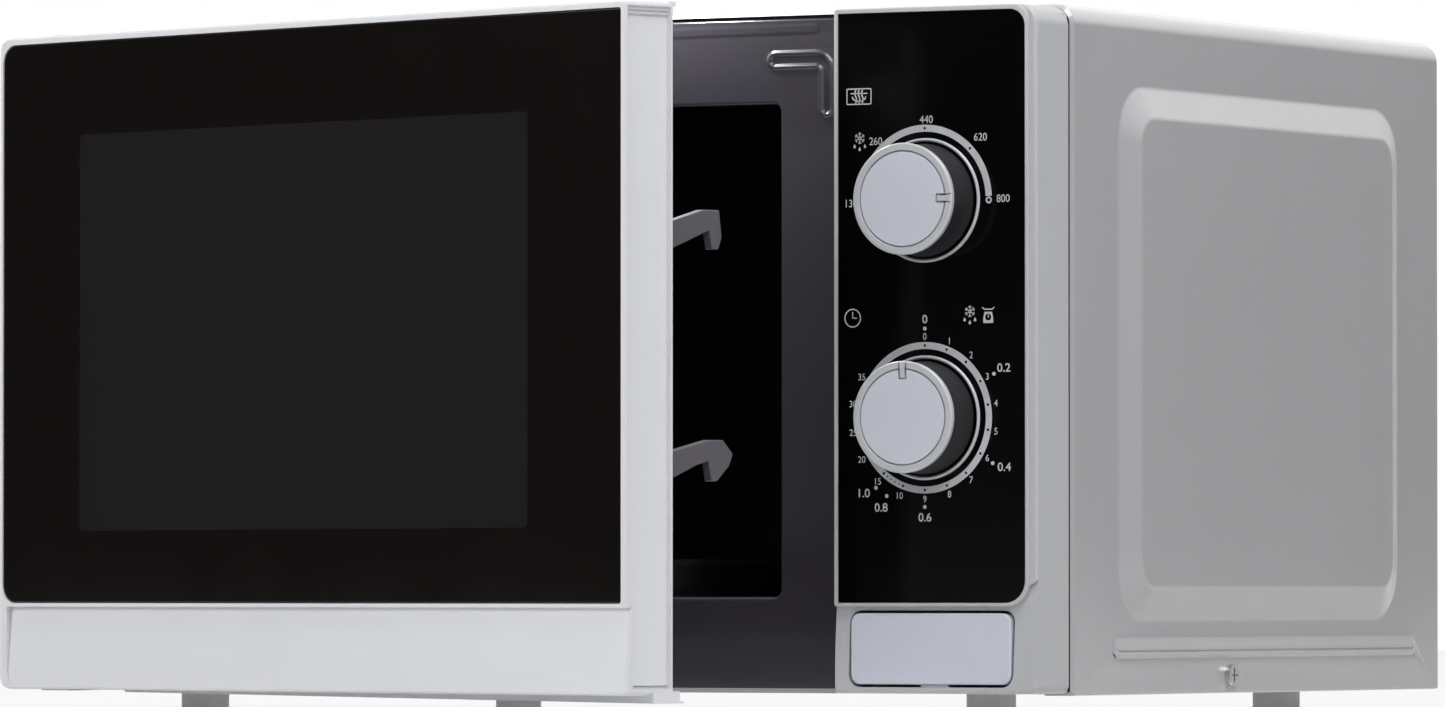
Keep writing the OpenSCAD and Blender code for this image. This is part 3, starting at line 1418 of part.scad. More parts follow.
outer_cabinet();
base_plate();
rear_panel();
feet();
cabinet_screws();
cord_inlet();
front_frame();
cavity_liner();
waveguide();
waveguide_cover();
cavity_lamp();
lamp_holder();
thermal_cutouts();
turntable_motor();
magnetron_body();
magnetron_fins();
magnetron_filter_box();
transformer_core();
transformer_windings();
hv_capacitor();
capacitor_clamp();
hv_diode();
fan_motor();
fan_duct();
filter_board();
door_hinges();
latch_board();
interlock_switches();
control_panel();
control_plate();
knob_base_rings();
timer_unit();
timer_bell();
power_control_unit();
door_frame();
door_glass();
door_inner_panel();
door_screen();
choke_cover();
window_film();
latch_hook();
latch_spring();
door_button();
button_spring();
door_open_lever();
switch_lever();
knob_skirt(timer_z, timer_turn);  // timer_knob_skirt
knob_cap(timer_z, timer_turn);  // timer_knob_cap
knob_shaft(timer_z, timer_turn);  // timer_shaft
knob_skirt(power_z, power_turn);  // power_knob_skirt
knob_cap(power_z, power_turn);  // power_knob_cap
knob_shaft(power_z, power_turn);  // power_shaft
fan_blade();
fan_shaft();
drive_coupler();
glass_tray();
roller_ring();
roller(0);  // roller_1
roller(1);  // roller_2
roller(2);  // roller_3
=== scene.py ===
"""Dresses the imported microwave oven: mouldings, glass, print, sheet metal, finishes, light and camera."""

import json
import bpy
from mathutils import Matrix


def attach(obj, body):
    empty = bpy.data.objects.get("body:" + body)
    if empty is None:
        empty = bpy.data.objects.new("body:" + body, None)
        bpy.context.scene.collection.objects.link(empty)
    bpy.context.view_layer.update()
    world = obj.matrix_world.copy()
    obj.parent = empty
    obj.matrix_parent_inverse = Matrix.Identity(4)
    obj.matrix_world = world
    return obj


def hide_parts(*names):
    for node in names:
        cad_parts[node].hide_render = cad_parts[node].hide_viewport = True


bl_info = {
    "name": "Countertop microwave oven",
    "version": (1, 0, 0),
    "blender": (4, 5, 0),
    "location": "View3D > Sidebar > Oven",
    "description": "Builds the visible pieces and finishes of a two-dial microwave oven around its solids",
    "category": "Object",
}

from collections import namedtuple
from math import asin, atan2, cos, pi as PI, radians, sin

import bmesh
import bpy
from mathutils import Matrix, Vector
from mathutils.geometry import tessellate_polygon

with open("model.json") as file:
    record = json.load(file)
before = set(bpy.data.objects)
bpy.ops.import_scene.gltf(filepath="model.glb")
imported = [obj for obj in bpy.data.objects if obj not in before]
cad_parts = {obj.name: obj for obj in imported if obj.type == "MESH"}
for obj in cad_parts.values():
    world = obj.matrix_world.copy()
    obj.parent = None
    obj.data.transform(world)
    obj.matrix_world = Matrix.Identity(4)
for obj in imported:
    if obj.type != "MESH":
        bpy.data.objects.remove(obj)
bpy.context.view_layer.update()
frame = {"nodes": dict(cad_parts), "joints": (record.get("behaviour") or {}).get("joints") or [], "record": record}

MM = 1000  # millimetres in a metre
ARC = 8  # facets in a quarter turn of an outline's corner
WELD = 0.004  # points closer than this, in mm, are one point
CLEAR = 3  # how far a cutting tool starts outside what it cuts, in mm
SHEET = 0.6  # thickness of the steel sheet, in mm


def linear(hex_code):
    """Turns an sRGB hex value into a linear colour."""
    values = [int(hex_code[i : i + 2], 16) / 255 for i in (1, 3, 5)]
    return tuple(v / 12.92 if v <= 0.04045 else ((v + 0.055) / 1.055) ** 2.4 for v in values)


# -------------------- places on the solids, in millimetres

hinge = next(j for j in frame["joints"] if j["name"] == "door_hinge")
pin = Matrix.Translation(Vector(hinge["pos_m"]) * MM)
ajar = radians(-hinge["range_deg"][0])
# Turns the shut door to where it stands ajar
DOOR_POSE = pin @ Matrix.Rotation(ajar, 4, Vector(hinge["axis"])) @ pin.inverted()

Box = namedtuple("Box", "x0 z0 x1 z1")


class Span:
    """The box of a solid; a door piece's box is taken with the door shut."""

    def __init__(self, node, shut=False):
        turn = DOOR_POSE.inverted() if shut else Matrix.Identity(4)
        points = [turn @ (v.co * MM) for v in frame["nodes"][node].data.vertices]
        self.x0, self.y0, self.z0 = (min(p[i] for p in points) for i in range(3))
        self.x1, self.y1, self.z1 = (max(p[i] for p in points) for i in range(3))
        self.cx, self.cz = (self.x0 + self.x1) / 2, (self.z0 + self.z1) / 2
        self.flat = Box(self.x0, self.z0, self.x1, self.z1)


cabinet = Span("outer_cabinet")
face_frame = Span("front_frame")
panel = Span("control_panel")
plate = Span("control_plate")
button = Span("door_button")
timer_cap = Span("timer_knob_cap")
power_cap = Span("power_knob_cap")
door = Span("door_frame", shut=True)
glass = Span("door_glass", shut=True)
hook = Span("latch_hook", shut=True)

# Inside of the cavity, the window in the door, the pane of glass
inside = Box(cabinet.x0 + 28.25, cabinet.z0 + 21, cabinet.x1 - 113.25, cabinet.z1 - 19)
window = Box(glass.x0 + 46, glass.z0 + 26.8, glass.x1 - 50, glass.z1 - 35.5)
pane = Box(glass.x0 + 0.1, glass.z0, glass.x1, glass.z1 - 0.75)

# -------------------- what a user would change


def length(name, description, mm):
    return bpy.props.FloatProperty(name=name, description=description, default=mm / MM, unit="LENGTH")


def colour(name, hex_code):
    return bpy.props.FloatVectorProperty(
        name=name, description=name + " colour", default=linear(hex_code), subtype="COLOR", min=0, max=1
    )


class OvenSizes(bpy.types.PropertyGroup):
    """Sizes of the visible detail"""

    strip_depth: length("Grip depth", "Depth of the scooped strip under the door glass", 2.1)
    side_recess: length("Side recess", "Depth of the recess in the door's edge", 1.9)
    window_corner: length("Window corner", "Corner radius of the door window", 2.5)
    numeral: length("Numeral height", "Height of the numbers round the dials", 2.4)
    large_numeral: length("Large numeral", "Height of the weight numbers", 3.1)
    ink: length("Ink thickness", "Thickness of the printed ink", 0.05)


class OvenColours(bpy.types.PropertyGroup):
    """Colours of the finishes"""

    paint: colour("Cabinet paint", "#B7B7BA")
    door_white: colour("Door moulding", "#E4E5E9")
    panel_white: colour("Panel moulding", "#C4C5C8")
    glass_black: colour("Glass print", "#120D0D")
    screen: colour("Door screen", "#4A4648")
    plate_black: colour("Panel film", "#050506")
    ink: colour("Printed ink", "#C9CBCF")
    silver: colour("Silver rim", "#D3D5D9")
    disc: colour("Knob disc", "#DBDFEA")
    skirt: colour("Knob skirt", "#26262A")
    button: colour("Push button", "#D7DBE8")
    enamel: colour("Front frame enamel", "#38353C")
    cavity: colour("Cavity enamel", "#241F20")
    hook: colour("Latch hook", "#59565D")
    floor: colour("Floor", "#E4E4E4")


def size(name):
    """A size of the visible detail, in millimetres."""
    return getattr(bpy.context.scene.oven_sizes, name) * MM


# -------------------- outlines, in millimetres


def arc(x, z, r, start, sweep, steps):
    """Points along an arc, with both its ends."""
    angles = [start + sweep * i / steps for i in range(steps + 1)]
    return [(x + r * cos(a), z + r * sin(a)) for a in angles]


def circle(x, z, r, steps=20):
    return arc(x, z, r, 0, 2 * PI, steps)[:-1]


def polar(x, z, r, degrees):
    """A point on a circle, by its angle clockwise from the top."""
    return arc(x, z, r, radians(90 - degrees), 0, 1)[0]


def rolled(steps, first=0):
    """Shares of a radius by which a rounded edge draws in and falls back, from its flank to its face."""
    for i in range(first, steps + 1):
        a = PI / 2 * i / steps
        yield 1 - cos(a), 1 - sin(a)


def grown(box, by):
    return Box(box.x0 - by, box.z0 - by, box.x1 + by, box.z1 + by)


def round_box(box, radii, by=0):
    """A box drawn in by a margin, with one corner radius or four, from the lower left anticlockwise."""
    radii = radii if isinstance(radii, tuple) else (radii,) * 4
    r = [max(v - by, 0.001) for v in radii]
    x0, z0, x1, z1 = grown(box, -by)
    corners = ((x0 + r[0], z0 + r[0]), (x1 - r[1], z0 + r[1]), (x1 - r[2], z1 - r[2]), (x0 + r[3], z1 - r[3]))
    outline = []
    for i, (x, z) in enumerate(corners):
        outline += arc(x, z, r[i], PI + i * PI / 2, PI / 2, ARC)
    return outline


def ribbon(points, half, cap=8):
    """The outline of a bar of half width half along a path, with round ends."""
    path = [Vector(p) for p in points]
    last = len(path) - 1
    normals = []
    for i in range(len(path)):
        along = (path[min(i + 1, last)] - path[max(i - 1, 0)]).normalized()
        normals.append(Vector((-along.y, along.x)))

    def end(centre, normal):
        return [Vector(p) for p in arc(*centre, half, atan2(normal.y, normal.x), -PI, cap)[1:-1]]

    outline = [p + n * half for p, n in zip(path, normals)] + end(path[-1], normals[-1])
    outline += [p - n * half for p, n in zip(path, normals)][::-1] + end(path[0], -normals[0])
    return [(p.x, p.y) for p in outline]


def swell(t, soft=0.14):
    """0 to 1 in a straight slope with rounded ends."""
    steep = 1 / (1 - soft)
    if t < soft:
        return steep * t * t / (2 * soft)
    if t > 1 - soft:
        return 1 - steep * (1 - t) ** 2 / (2 * soft)
    return steep * (t - soft / 2)


def at_y(outline, y):
    return [(x, y, z) for x, z in outline]


def at_x(outline, x):
    return [(x, y, z) for y, z in outline]


# -------------------- mesh work, in millimetres


def loft(bm, rings, closed=True, first=True, last=True):
    """Joins rings of as many points with faces, and closes the ends."""
    rows = [[bm.verts.new(p) for p in ring] for ring in rings]
    count = len(rows[0])
    for a, b in zip(rows, rows[1:]):
        for i in range(count if closed else count - 1):
            k = (i + 1) % count
            bm.faces.new((a[i], a[k], b[k], b[i]))
    if first:
        bm.faces.new(rows[0][::-1])
    if last:
        bm.faces.new(rows[-1])
    return rows


def skin(bm, rings, closed=True):
    """A loft without its ends."""
    return loft(bm, rings, closed, first=False, last=False)


def sheet(bm, outer, holes, place):
    """A flat face with holes in it; place turns a point of the outline into one in space."""
    rings = [outer] + holes
    verts = [bm.verts.new(place(*p)) for ring in rings for p in ring]
    for tri in tessellate_polygon([[Vector((*p, 0)) for p in ring] for ring in rings]):
        bm.faces.new([verts[i] for i in tri])


def solid(*rings):
    bm = bmesh.new()
    loft(bm, rings)
    return bm


def slab(box, radii, back, front, fillet, steps=4):
    """A plate in the X-Z plane whose front edge is rounded."""
    rings = [at_y(round_box(box, radii), back)]
    for draw, fall in rolled(steps):
        rings.append(at_y(round_box(box, radii, fillet * draw), front + fillet * fall))
    return solid(*rings)


def prism(outline, y0, y1):
    return solid(at_y(outline, y0), at_y(outline, y1))


def cross_prism(outline, x0, x1):
    """A prism across the oven, from an outline in the Y-Z plane."""
    return solid(at_x(outline, x0), at_x(outline, x1))


def wedge(outline, y_start, floor):
    """A cutting tool from y_start back to a floor whose y follows from x and z."""
    return solid(at_y(outline, y_start), [(x, floor(x, z), z) for x, z in outline])


def block(x0, x1, y0, y1, z0, z1):
    return prism([(x0, z0), (x1, z0), (x1, z1), (x0, z1)], y0, y1)


def revolve(bm, profile, cx, cz, steps=96, closed=False):
    """Turns a profile of (radius, y) about an axis along Y."""
    turns = [2 * PI * i / steps for i in range(steps)]
    rings = [[(cx + r * cos(a), y, cz + r * sin(a)) for r, y in profile] for a in turns]
    skin(bm, rings + rings[:1], closed)


def mesh_from(name, bm):
    mesh = bpy.data.meshes.new(name)
    bm.to_mesh(mesh)
    bm.free()
    return mesh


def placed(name, data):
    """A new object in the scene."""
    obj = bpy.data.objects.new(name, data)
    bpy.context.scene.collection.objects.link(obj)
    return obj


def helper_object(bm):
    bmesh.ops.remove_doubles(bm, verts=bm.verts, dist=0.02)
    bmesh.ops.recalc_face_normals(bm, faces=bm.faces)
    return placed("work", mesh_from("work", bm))


def shaped(obj):
    """The mesh that an object has after its modifiers."""
    bpy.context.view_layer.update()
    return bpy.data.meshes.new_from_object(obj.evaluated_get(bpy.context.evaluated_depsgraph_get()))


def carve(bm, cuts=(), joins=()):
    """Joins some solids to a solid and cuts others out of it."""
    work = helper_object(bm)
    helpers = []
    for kind, tools in (("UNION", joins), ("DIFFERENCE", cuts)):
        for tool in tools:
            helper = helper_object(tool)
            step = work.modifiers.new(kind, "BOOLEAN")
            step.operation, step.solver, step.object = kind, "EXACT", helper
            helpers.append(helper)
    out = bmesh.new()
    out.from_mesh(shaped(work))
    for obj in [work] + helpers:
        bpy.data.objects.remove(obj)
    bmesh.ops.dissolve_limit(out, angle_limit=radians(0.5), verts=out.verts, edges=out.edges)
    return out


def soften(bm, width):
    """Rounds the sharp edges."""
    sharp = [e for e in bm.edges if len(e.link_faces) == 2 and e.calc_face_angle(0) > radians(28)]
    bmesh.ops.bevel(
        bm, geom=sharp, offset=width, offset_type="OFFSET", segments=2, profile=0.5, affect="EDGES",
        clamp_overlap=False,
    )


def build(name, bm, body, finishes, stands_for=(), pose=None, weld=WELD, sharp=40, weigh=True):
    """Turns mesh work into a finished piece that rides on a body; spaces part the names of its finishes."""
    bmesh.ops.remove_doubles(bm, verts=bm.verts, dist=weld)
    bmesh.ops.dissolve_degenerate(bm, dist=weld / 2, edges=bm.edges)
    bmesh.ops.recalc_face_normals(bm, faces=bm.faces)
    if pose is not None:
        bm.transform(pose)
    bm.transform(Matrix.Scale(1 / MM, 4))
    mesh = mesh_from(name, bm)
    for finish in finishes.split():
        mesh.materials.append(FINISHES[finish])
    mesh.shade_smooth()
    mesh.set_sharp_from_angle(angle=radians(sharp))
    obj = placed(name, mesh)
    if weigh:
        obj.modifiers.new("even_shading", "WEIGHTED_NORMAL").keep_sharp = True
        obj.data = shaped(obj)
        obj.modifiers.clear()
        obj.data.name = name
        bpy.data.meshes.remove(mesh)
    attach(obj, body)
    if stands_for:
        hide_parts(*stands_for)


# -------------------- finishes

FINISHES = {}


def add(tree, kind, values=None, links=None):
    """Adds a node, sets its sockets and settings, and links its inputs from (node, output)."""
    made = tree.nodes.new(kind)
    for key, value in (values or {}).items():
        if isinstance(key, int) or key in made.inputs:
            made.inputs[key].default_value = value
        else:
            setattr(made, key, value)
    for key, (source, output) in (links or {}).items():
        tree.links.new(source.outputs[output], made.inputs[key])
    return made


def calc(tree, operation, first, second):
    """A maths node fed by one (node, output) pair and by another pair or a number."""
    number = not isinstance(second, tuple)
    values = {"operation": operation, **({1: second} if number else {})}
    return add(tree, "ShaderNodeMath", values, {0: first} if number else {0: first, 1: second}), 0


def ranged(tree, source, low, high, from_low=0.3, from_high=0.7):
    values = {"From Min": from_low, "From Max": from_high, "To Min": low, "To Max": high}
    return add(tree, "ShaderNodeMapRange", values, {"Value": source}), "Result"


def tinted(tree, factor, first, second):
    values = {"data_type": "RGBA", 6: (*first, 1), 7: (*second, 1)}
    return add(tree, "ShaderNodeMix", values, {0: factor}).outputs[2]


def spread(tree, place, patch, detail, stretch=None):
    """Noise in patches of about as many millimetres, longer along an axis if stretched."""
    if stretch:
        place = (add(tree, "ShaderNodeMapping", {"Scale": stretch}, {"Vector": place}), "Vector")
    values = {"Scale": 1 / patch, "Detail": detail, "Roughness": 0.5}
    return add(tree, "ShaderNodeTexNoise", values, {"Vector": place}), "Fac"


def empty_tree(owner):
    owner.use_nodes = True
    owner.node_tree.nodes.clear()
    return owner.node_tree


def finish_base(name, roughness, values):
    """A material with its shader, its output and coordinates in millimetres."""
    FINISHES[name] = bpy.data.materials.new(name)
    tree = empty_tree(FINISHES[name])
    settings = {key.replace("_", " "): value for key, value in values.items()}
    shader = add(tree, "ShaderNodeBsdfPrincipled", {"Roughness": roughness, **settings})
    add(tree, "ShaderNodeOutputMaterial", links={"Surface": (shader, "BSDF")})
    where = add(tree, "ShaderNodeTexCoord")
    place = add(tree, "ShaderNodeMapping", {"Scale": (MM, MM, MM)}, {"Vector": (where, "Object")})
    return tree, shader, (place, "Vector")


def as_rgb(colour):
    return linear(colour) if isinstance(colour, str) else tuple(colour)


def surface(
    name, colour, roughness, relief=None, mottle=(0.02, 40), scuff=0.05, stretch=None, edge=0, **values
):
    """A finish with a base colour that drifts, a roughness that varies and a fine relief.

    relief is its size and depth in millimetres, mottle the share by which the colour drifts and the size of
    its patches, scuff the share by which the roughness varies, stretch the scale of the relief along each
    axis, edge the radius to which a sharp edge looks worn; the other values go to the shader.
    """
    tree, shader, place = finish_base(name, roughness, values)
    share, patch = mottle
    drift = ranged(tree, spread(tree, place, patch, 4), 0, 1)
    dark, light = ([min(1, v * by) for v in as_rgb(colour)] for by in (1 - share, 1 + share))
    tree.links.new(tinted(tree, drift, dark, light), shader.inputs["Base Color"])
    rub = spread(tree, place, patch / 6, 5, stretch)
    worn, output = ranged(tree, rub, roughness * (1 - scuff), min(1, roughness * (1 + scuff)))
    tree.links.new(worn.outputs[output], shader.inputs["Roughness"])
    links = {}
    if edge:
        links["Normal"] = (add(tree, "ShaderNodeBevel", {"samples": 4, "Radius": edge / MM}), "Normal")
    if relief:
        links["Height"] = spread(tree, place, relief[0], 2, stretch)
        values = {"Strength": 1.0, "Distance": relief[1] / MM}
        links["Normal"] = (add(tree, "ShaderNodeBump", values, links), "Normal")
    if links:
        tree.links.new(links["Normal"][0].outputs["Normal"], shader.inputs["Normal"])


def dotted(name, colour, hole_shade, pitch, radius, roughness):
    """Sheet with round holes in slanting rows, drawn as dots of painted shade, the dark seen through them."""
    tree, shader, place = finish_base(name, roughness, {})
    values = {"Rotation": (0, PI / 4, 0), "Scale": (1 / pitch, 0.0001, 1 / pitch)}
    turned = add(tree, "ShaderNodeMapping", values, {"Vector": place})
    values = {"Scale": 1.0, "Randomness": 0.0, "feature": "F1"}
    cells = add(tree, "ShaderNodeTexVoronoi", values, {"Vector": (turned, "Vector")})
    rim = ranged(tree, (cells, "Distance"), 0, 1, radius / pitch * 0.85, radius / pitch * 1.1)
    # the dots take the painted shade, the rest of the sheet its paint
    tree.links.new(tinted(tree, rim, as_rgb(hole_shade), as_rgb(colour)), shader.inputs["Base Color"])


def make_coatings(c):
    """Paint, lacquer, print and enamel."""
    # Polyester powder paint on sheet steel: satin, with a faint orange peel
    surface("powder_painted_steel", c.paint, 0.4, relief=(1.6, 0.008), mottle=(0.02, 120), scuff=0.08,
            Coat_Weight=1.0, Coat_Roughness=0.13)
    # Stoved enamel on the front frame: semi-gloss with an orange peel that the light picks out
    surface("grey_stoved_enamel", c.enamel, 0.27, relief=(3.4, 0.0012), mottle=(0.01, 120), scuff=0.012,
            edge=0.2, Coat_Weight=0.6, Coat_Roughness=0.09)
    # Acid-fast enamel in the cavity: darker, with fine specks
    surface("speckled_cavity_enamel", c.cavity, 0.34, relief=(1.2, 0.015), mottle=(0.25, 1.1), scuff=0.2)
    # Metallic paint over plastic: a fine sparkle of flakes under a satin lacquer
    surface("silver_lacquer", c.silver, 0.38, relief=(0.18, 0.003), mottle=(0.02, 0.5), edge=0.15,
            Metallic=0.12)
    # The knob's disc in the same lacquer, spun finely
    surface("spun_silver_disc", c.disc, 0.45, relief=(0.2, 0.003), mottle=(0.012, 0.6))
    # Screen-printed ink, matt and slightly uneven
    surface("screen_ink", c.ink, 0.6, relief=(0.25, 0.004), mottle=(0.05, 6))


def make_plastics(c):
    """Mouldings, films and rubber."""
    # Injection-moulded ABS, polished tool: satin gloss, almost no relief
    surface("polished_white_abs", c.door_white, 0.32, relief=(0.8, 0.003), mottle=(0.012, 90), edge=0.35,
            Coat_Weight=0.15, Coat_Roughness=0.15)
    # The door's white plastic in a greyer copy, from a spark-eroded tool: finer and duller
    surface("satin_grey_abs", c.panel_white, 0.38, relief=(0.5, 0.006), mottle=(0.012, 90), edge=0.35)
    # Black ABS from a fine spark-eroded tool: satin
    surface("satin_black_abs", c.skirt, 0.42, relief=(0.35, 0.006), mottle=(0.06, 12))
    # The button's ABS, coloured through: an even satin
    surface("blue_grey_abs", c.button, 0.4, relief=(0.5, 0.004), mottle=(0.008, 90))
    # Polycarbonate film printed black on its back, with a hairline texture
    surface("black_panel_film", c.plate_black, 0.14, relief=(0.4, 0.002), mottle=(0.1, 60),
            stretch=(0.05, 1, 1), IOR=1.55, Specular_IOR_Level=0.12)
    # Glass-filled acetal, as moulded: dull, with a faint grain of fibres
    surface("grey_acetal", c.hook, 0.38, relief=(0.5, 0.006), mottle=(0.04, 8), edge=0.4)
    # Plain acetal, as moulded: smooth and waxy
    surface("white_acetal", "#E6E6E2", 0.42, relief=(0.6, 0.006), mottle=(0.02, 20))
    # Glass-filled polyester for the hot parts: matt ivory
    surface("ivory_polyester", "#DCD6C4", 0.5, relief=(0.5, 0.01), mottle=(0.03, 20))
    # Moulded polypropylene round the choke: dark satin
    surface("black_choke_cover", "#121214", 0.3, relief=(0.5, 0.005), mottle=(0.1, 20))
    # Cast polyester film: clear, with a soft sheen
    surface("clear_film", "#D9DEDE", 0.12, Alpha=0.22)
    # Moulded rubber: matt and slightly dusty
    surface("pale_rubber", "#F2F2F0", 0.7, relief=(0.4, 0.02), mottle=(0.04, 6))
    # Moulded nylon: matt black
    surface("black_nylon", "#1B1B1D", 0.5, relief=(0.4, 0.01), mottle=(0.08, 8))
    # Compression-moulded phenolic: a flat brown-black
    surface("black_phenolic", "#1E1D1D", 0.45, relief=(0.5, 0.01), mottle=(0.1, 8))
    # Glass-epoxy board under green solder mask: satin, with the weave just showing
    surface("circuit_board", "#2E6B45", 0.4, relief=(1.0, 0.01), mottle=(0.12, 3))


def make_glasses(c):
    """Glass and mica."""
    # Float glass with black enamel fired on its back: a deep mirror-smooth black
    surface("black_backed_glass", c.glass_black, 0.06, mottle=(0.05, 200), scuff=0.2, IOR=1.5,
            Specular_IOR_Level=0.32)
    # The clear part of the same glass, darkened by a smoke film
    surface("smoked_glass", (0.0185, 0.017, 0.0175), 0.05, scuff=0.2, IOR=1.5, Specular_IOR_Level=0.32,
            Alpha=0.75)
    # Pressed soda glass: clear with a green cast, slightly wavy
    surface("pressed_glass", "#6E7270", 0.08, relief=(14, 0.05), mottle=(0.02, 60), IOR=1.5,
            Transmission_Weight=0.92)
    # Blown bulb glass: thin and clear
    surface("bulb_glass", "#EDEBE2", 0.1, Alpha=0.5, IOR=1.5)
    # Pressed mica sheet: tan flakes
    surface("mica_sheet", "#B9A786", 0.5, relief=(3, 0.02), mottle=(0.18, 4))


def make_metals(c):
    """Bare and plated metals."""
    # Hot-dip galvanised sheet: grey zinc with spangles about 9 mm across
    surface("galvanised_sheet", "#A9ABAC", 0.42, relief=(9, 0.01), mottle=(0.12, 9), scuff=0.25, Metallic=0.8)
    # Bright zinc plating on screws
    surface("zinc_plated_screw", "#C9CACB", 0.25, relief=(0.5, 0.01), mottle=(0.06, 2), Metallic=1.0)
    # Turned steel shafts: fine lines round them
    surface("bright_steel", "#B9BABC", 0.28, relief=(0.3, 0.004), mottle=(0.05, 5), Metallic=1.0,
            stretch=(1, 1, 0.1))
    # Drawn spring wire: grey and half bright
    surface("drawn_spring_wire", "#8E8F92", 0.3, relief=(0.2, 0.003), mottle=(0.06, 2), Metallic=1.0)
    # Perforated steel sheet painted grey: the holes are dots of painted shade, for the dark seen through them
    dotted("perforated_screen", c.screen, "#0B0A0A", 1.7, 0.52, 0.5)
    # Pressed aluminium: the tool leaves it slightly drawn
    surface("pressed_aluminium", "#C9CCD0", 0.35, relief=(0.4, 0.006), mottle=(0.05, 10), Metallic=1.0,
            stretch=(1, 0.1, 1))
    # Deep-drawn aluminium can: lines along the draw
    surface("drawn_aluminium_can", "#BFC1C4", 0.3, relief=(0.5, 0.005), mottle=(0.05, 12), Metallic=1.0,
            stretch=(0.1, 1, 1))
    # Enamelled copper wire, wound: fine turns across the coil
    surface("enamelled_copper", "#9C5A34", 0.35, relief=(0.9, 0.12), mottle=(0.12, 3), Metallic=0.7,
            stretch=(0.02, 0.02, 1))
    # Varnished laminations: thin steel sheets seen edge-on
    surface("varnished_laminations", "#3A3B3F", 0.45, relief=(0.5, 0.05), mottle=(0.2, 1.5), Metallic=0.5,
            stretch=(1, 0.02, 0.02))


SLOT_FINISH = {
    "cabinet_paint": "powder_painted_steel",
    "frame_paint": "grey_stoved_enamel",
    "galvanised": "galvanised_sheet",
    "zinc_screws": "zinc_plated_screw",
    "white_moulding": "polished_white_abs",
    "black_glass": "black_backed_glass",
    "black_plate": "black_panel_film",
    "silver_paint": "silver_lacquer",
    "knob_black": "satin_black_abs",
    "button_grey": "blue_grey_abs",
    "dark_moulding": "grey_acetal",
    "ivory_moulding": "ivory_polyester",
    "steel": "bright_steel",
    "spring_steel": "drawn_spring_wire",
    "inner_enamel": "speckled_cavity_enamel",
    "screen_steel": "perforated_screen",
    "choke_plastic": "black_choke_cover",
    "clear_film": "clear_film",
    "mica": "mica_sheet",
    "rubber_feet": "pale_rubber",
    "bush_black": "black_nylon",
    "lamp_glass": "bulb_glass",
    "cutout_black": "black_phenolic",
    "aluminium": "pressed_aluminium",
    "copper": "enamelled_copper",
    "iron_core": "varnished_laminations",
    "can": "drawn_aluminium_can",
    "board_green": "circuit_board",
    "tray_glass": "pressed_glass",
    "white_acetal": "white_acetal",
}


class OVEN_OT_finishes(bpy.types.Operator):
    """Makes the finishes and puts them on the solids that stay"""

    bl_idname = "oven.finishes"
    bl_label = "Finishes"

    def execute(self, context):
        for make in (make_coatings, make_plastics, make_glasses, make_metals):
            make(context.scene.oven_colours)
        for row in frame["record"]["subparts"]:
            mesh = frame["nodes"][row["node"]].data
            mesh.materials.clear()
            mesh.materials.append(FINISHES[SLOT_FINISH[row["material_slot"]]])
            mesh.shade_smooth()
            mesh.set_sharp_from_angle(angle=radians(30))
        return {"FINISHED"}


# -------------------- sheet metal

# Shares of the way up a pressed slope, closer together where it bends
RISE = (0, 0.035, 0.07, 0.105, 0.14, 0.18, 0.5, 0.82, 0.86, 0.895, 0.93, 0.965, 1)
# The side's bead: height over its middle and how far it stands out, with a crease under a broad upper flank
BEAD = ((-4, 0), (-3.6, 0.2), (-2.8, 1.35), (-2.3, 1.45), (-1.8, 1.3), (-1.5, 0.55), (-1.25, 0.6),
        (-1.0, 0.95), (-0.6, 0.92), (3.5, 0.05), (4, 0))
# Upper and lower edge of each ring of the bead, from outside to its middle
BEAD_RINGS = ((4, -4), (3.5, -3.6), (2.2, -3.4), (0.8, -3.2), (-0.6, -3.0), (-1.0, -2.9), (-1.25, -2.8),
              (-1.5, -2.7), (-1.8, -2.6), (-2.2, -2.5))
# A rib of the front frame: a raised rim round a shallow trough, as distance from the rib's edge and height
RIB = ((1.5, 0), (1.25, 0.1), (0.95, 0.36), (0.65, 0.66), (0.4, 0.86), (0.1, 0.94), (-0.25, 0.84),
       (-0.6, 0.52), (-0.95, 0.18), (-1.25, 0.02), (-1.5, -0.05))
BEND = 7.5  # radius of the cabinet's bends
FLANGE = 12  # width of the flange under each of its sides
HEM = 9  # how far its front edge runs back inside it
TURN_IN = 11.9  # how far its back edge is bent in
SIDE_X = face_frame.x1 + 2 * SHEET + 0.3  # flat of the cabinet's side


def half_wrap(inset):
    """Right half of the cabinet's section, from the lower flange up over the bend to the top's middle."""
    x, low, r = SIDE_X - inset, cabinet.z0 + inset, BEND - inset
    flange = [(SIDE_X - FLANGE, low), (x - 0.8, low), (x - 0.23, low + 0.23), (x, low + 0.8)]
    return flange + arc(x - r, cabinet.z1 - inset - r, r, 0, PI / 2, 10)


def wrap(inset):
    right = half_wrap(inset)
    return right + [(-x, z) for x, z in right[::-1]]


def bead_height(over, before, after):
    """How far the bead stands out, from the height over its middle and the distances to its ends."""
    reach = min(1, max(0, min(before + 4, after + 4) / 3))
    for (z0, h0), (z1, h1) in zip(BEAD, BEAD[1:]):
        if z0 <= over <= z1:
            return reach * (h0 + (h1 - h0) * (over - z0) / (z1 - z0))
    return 0


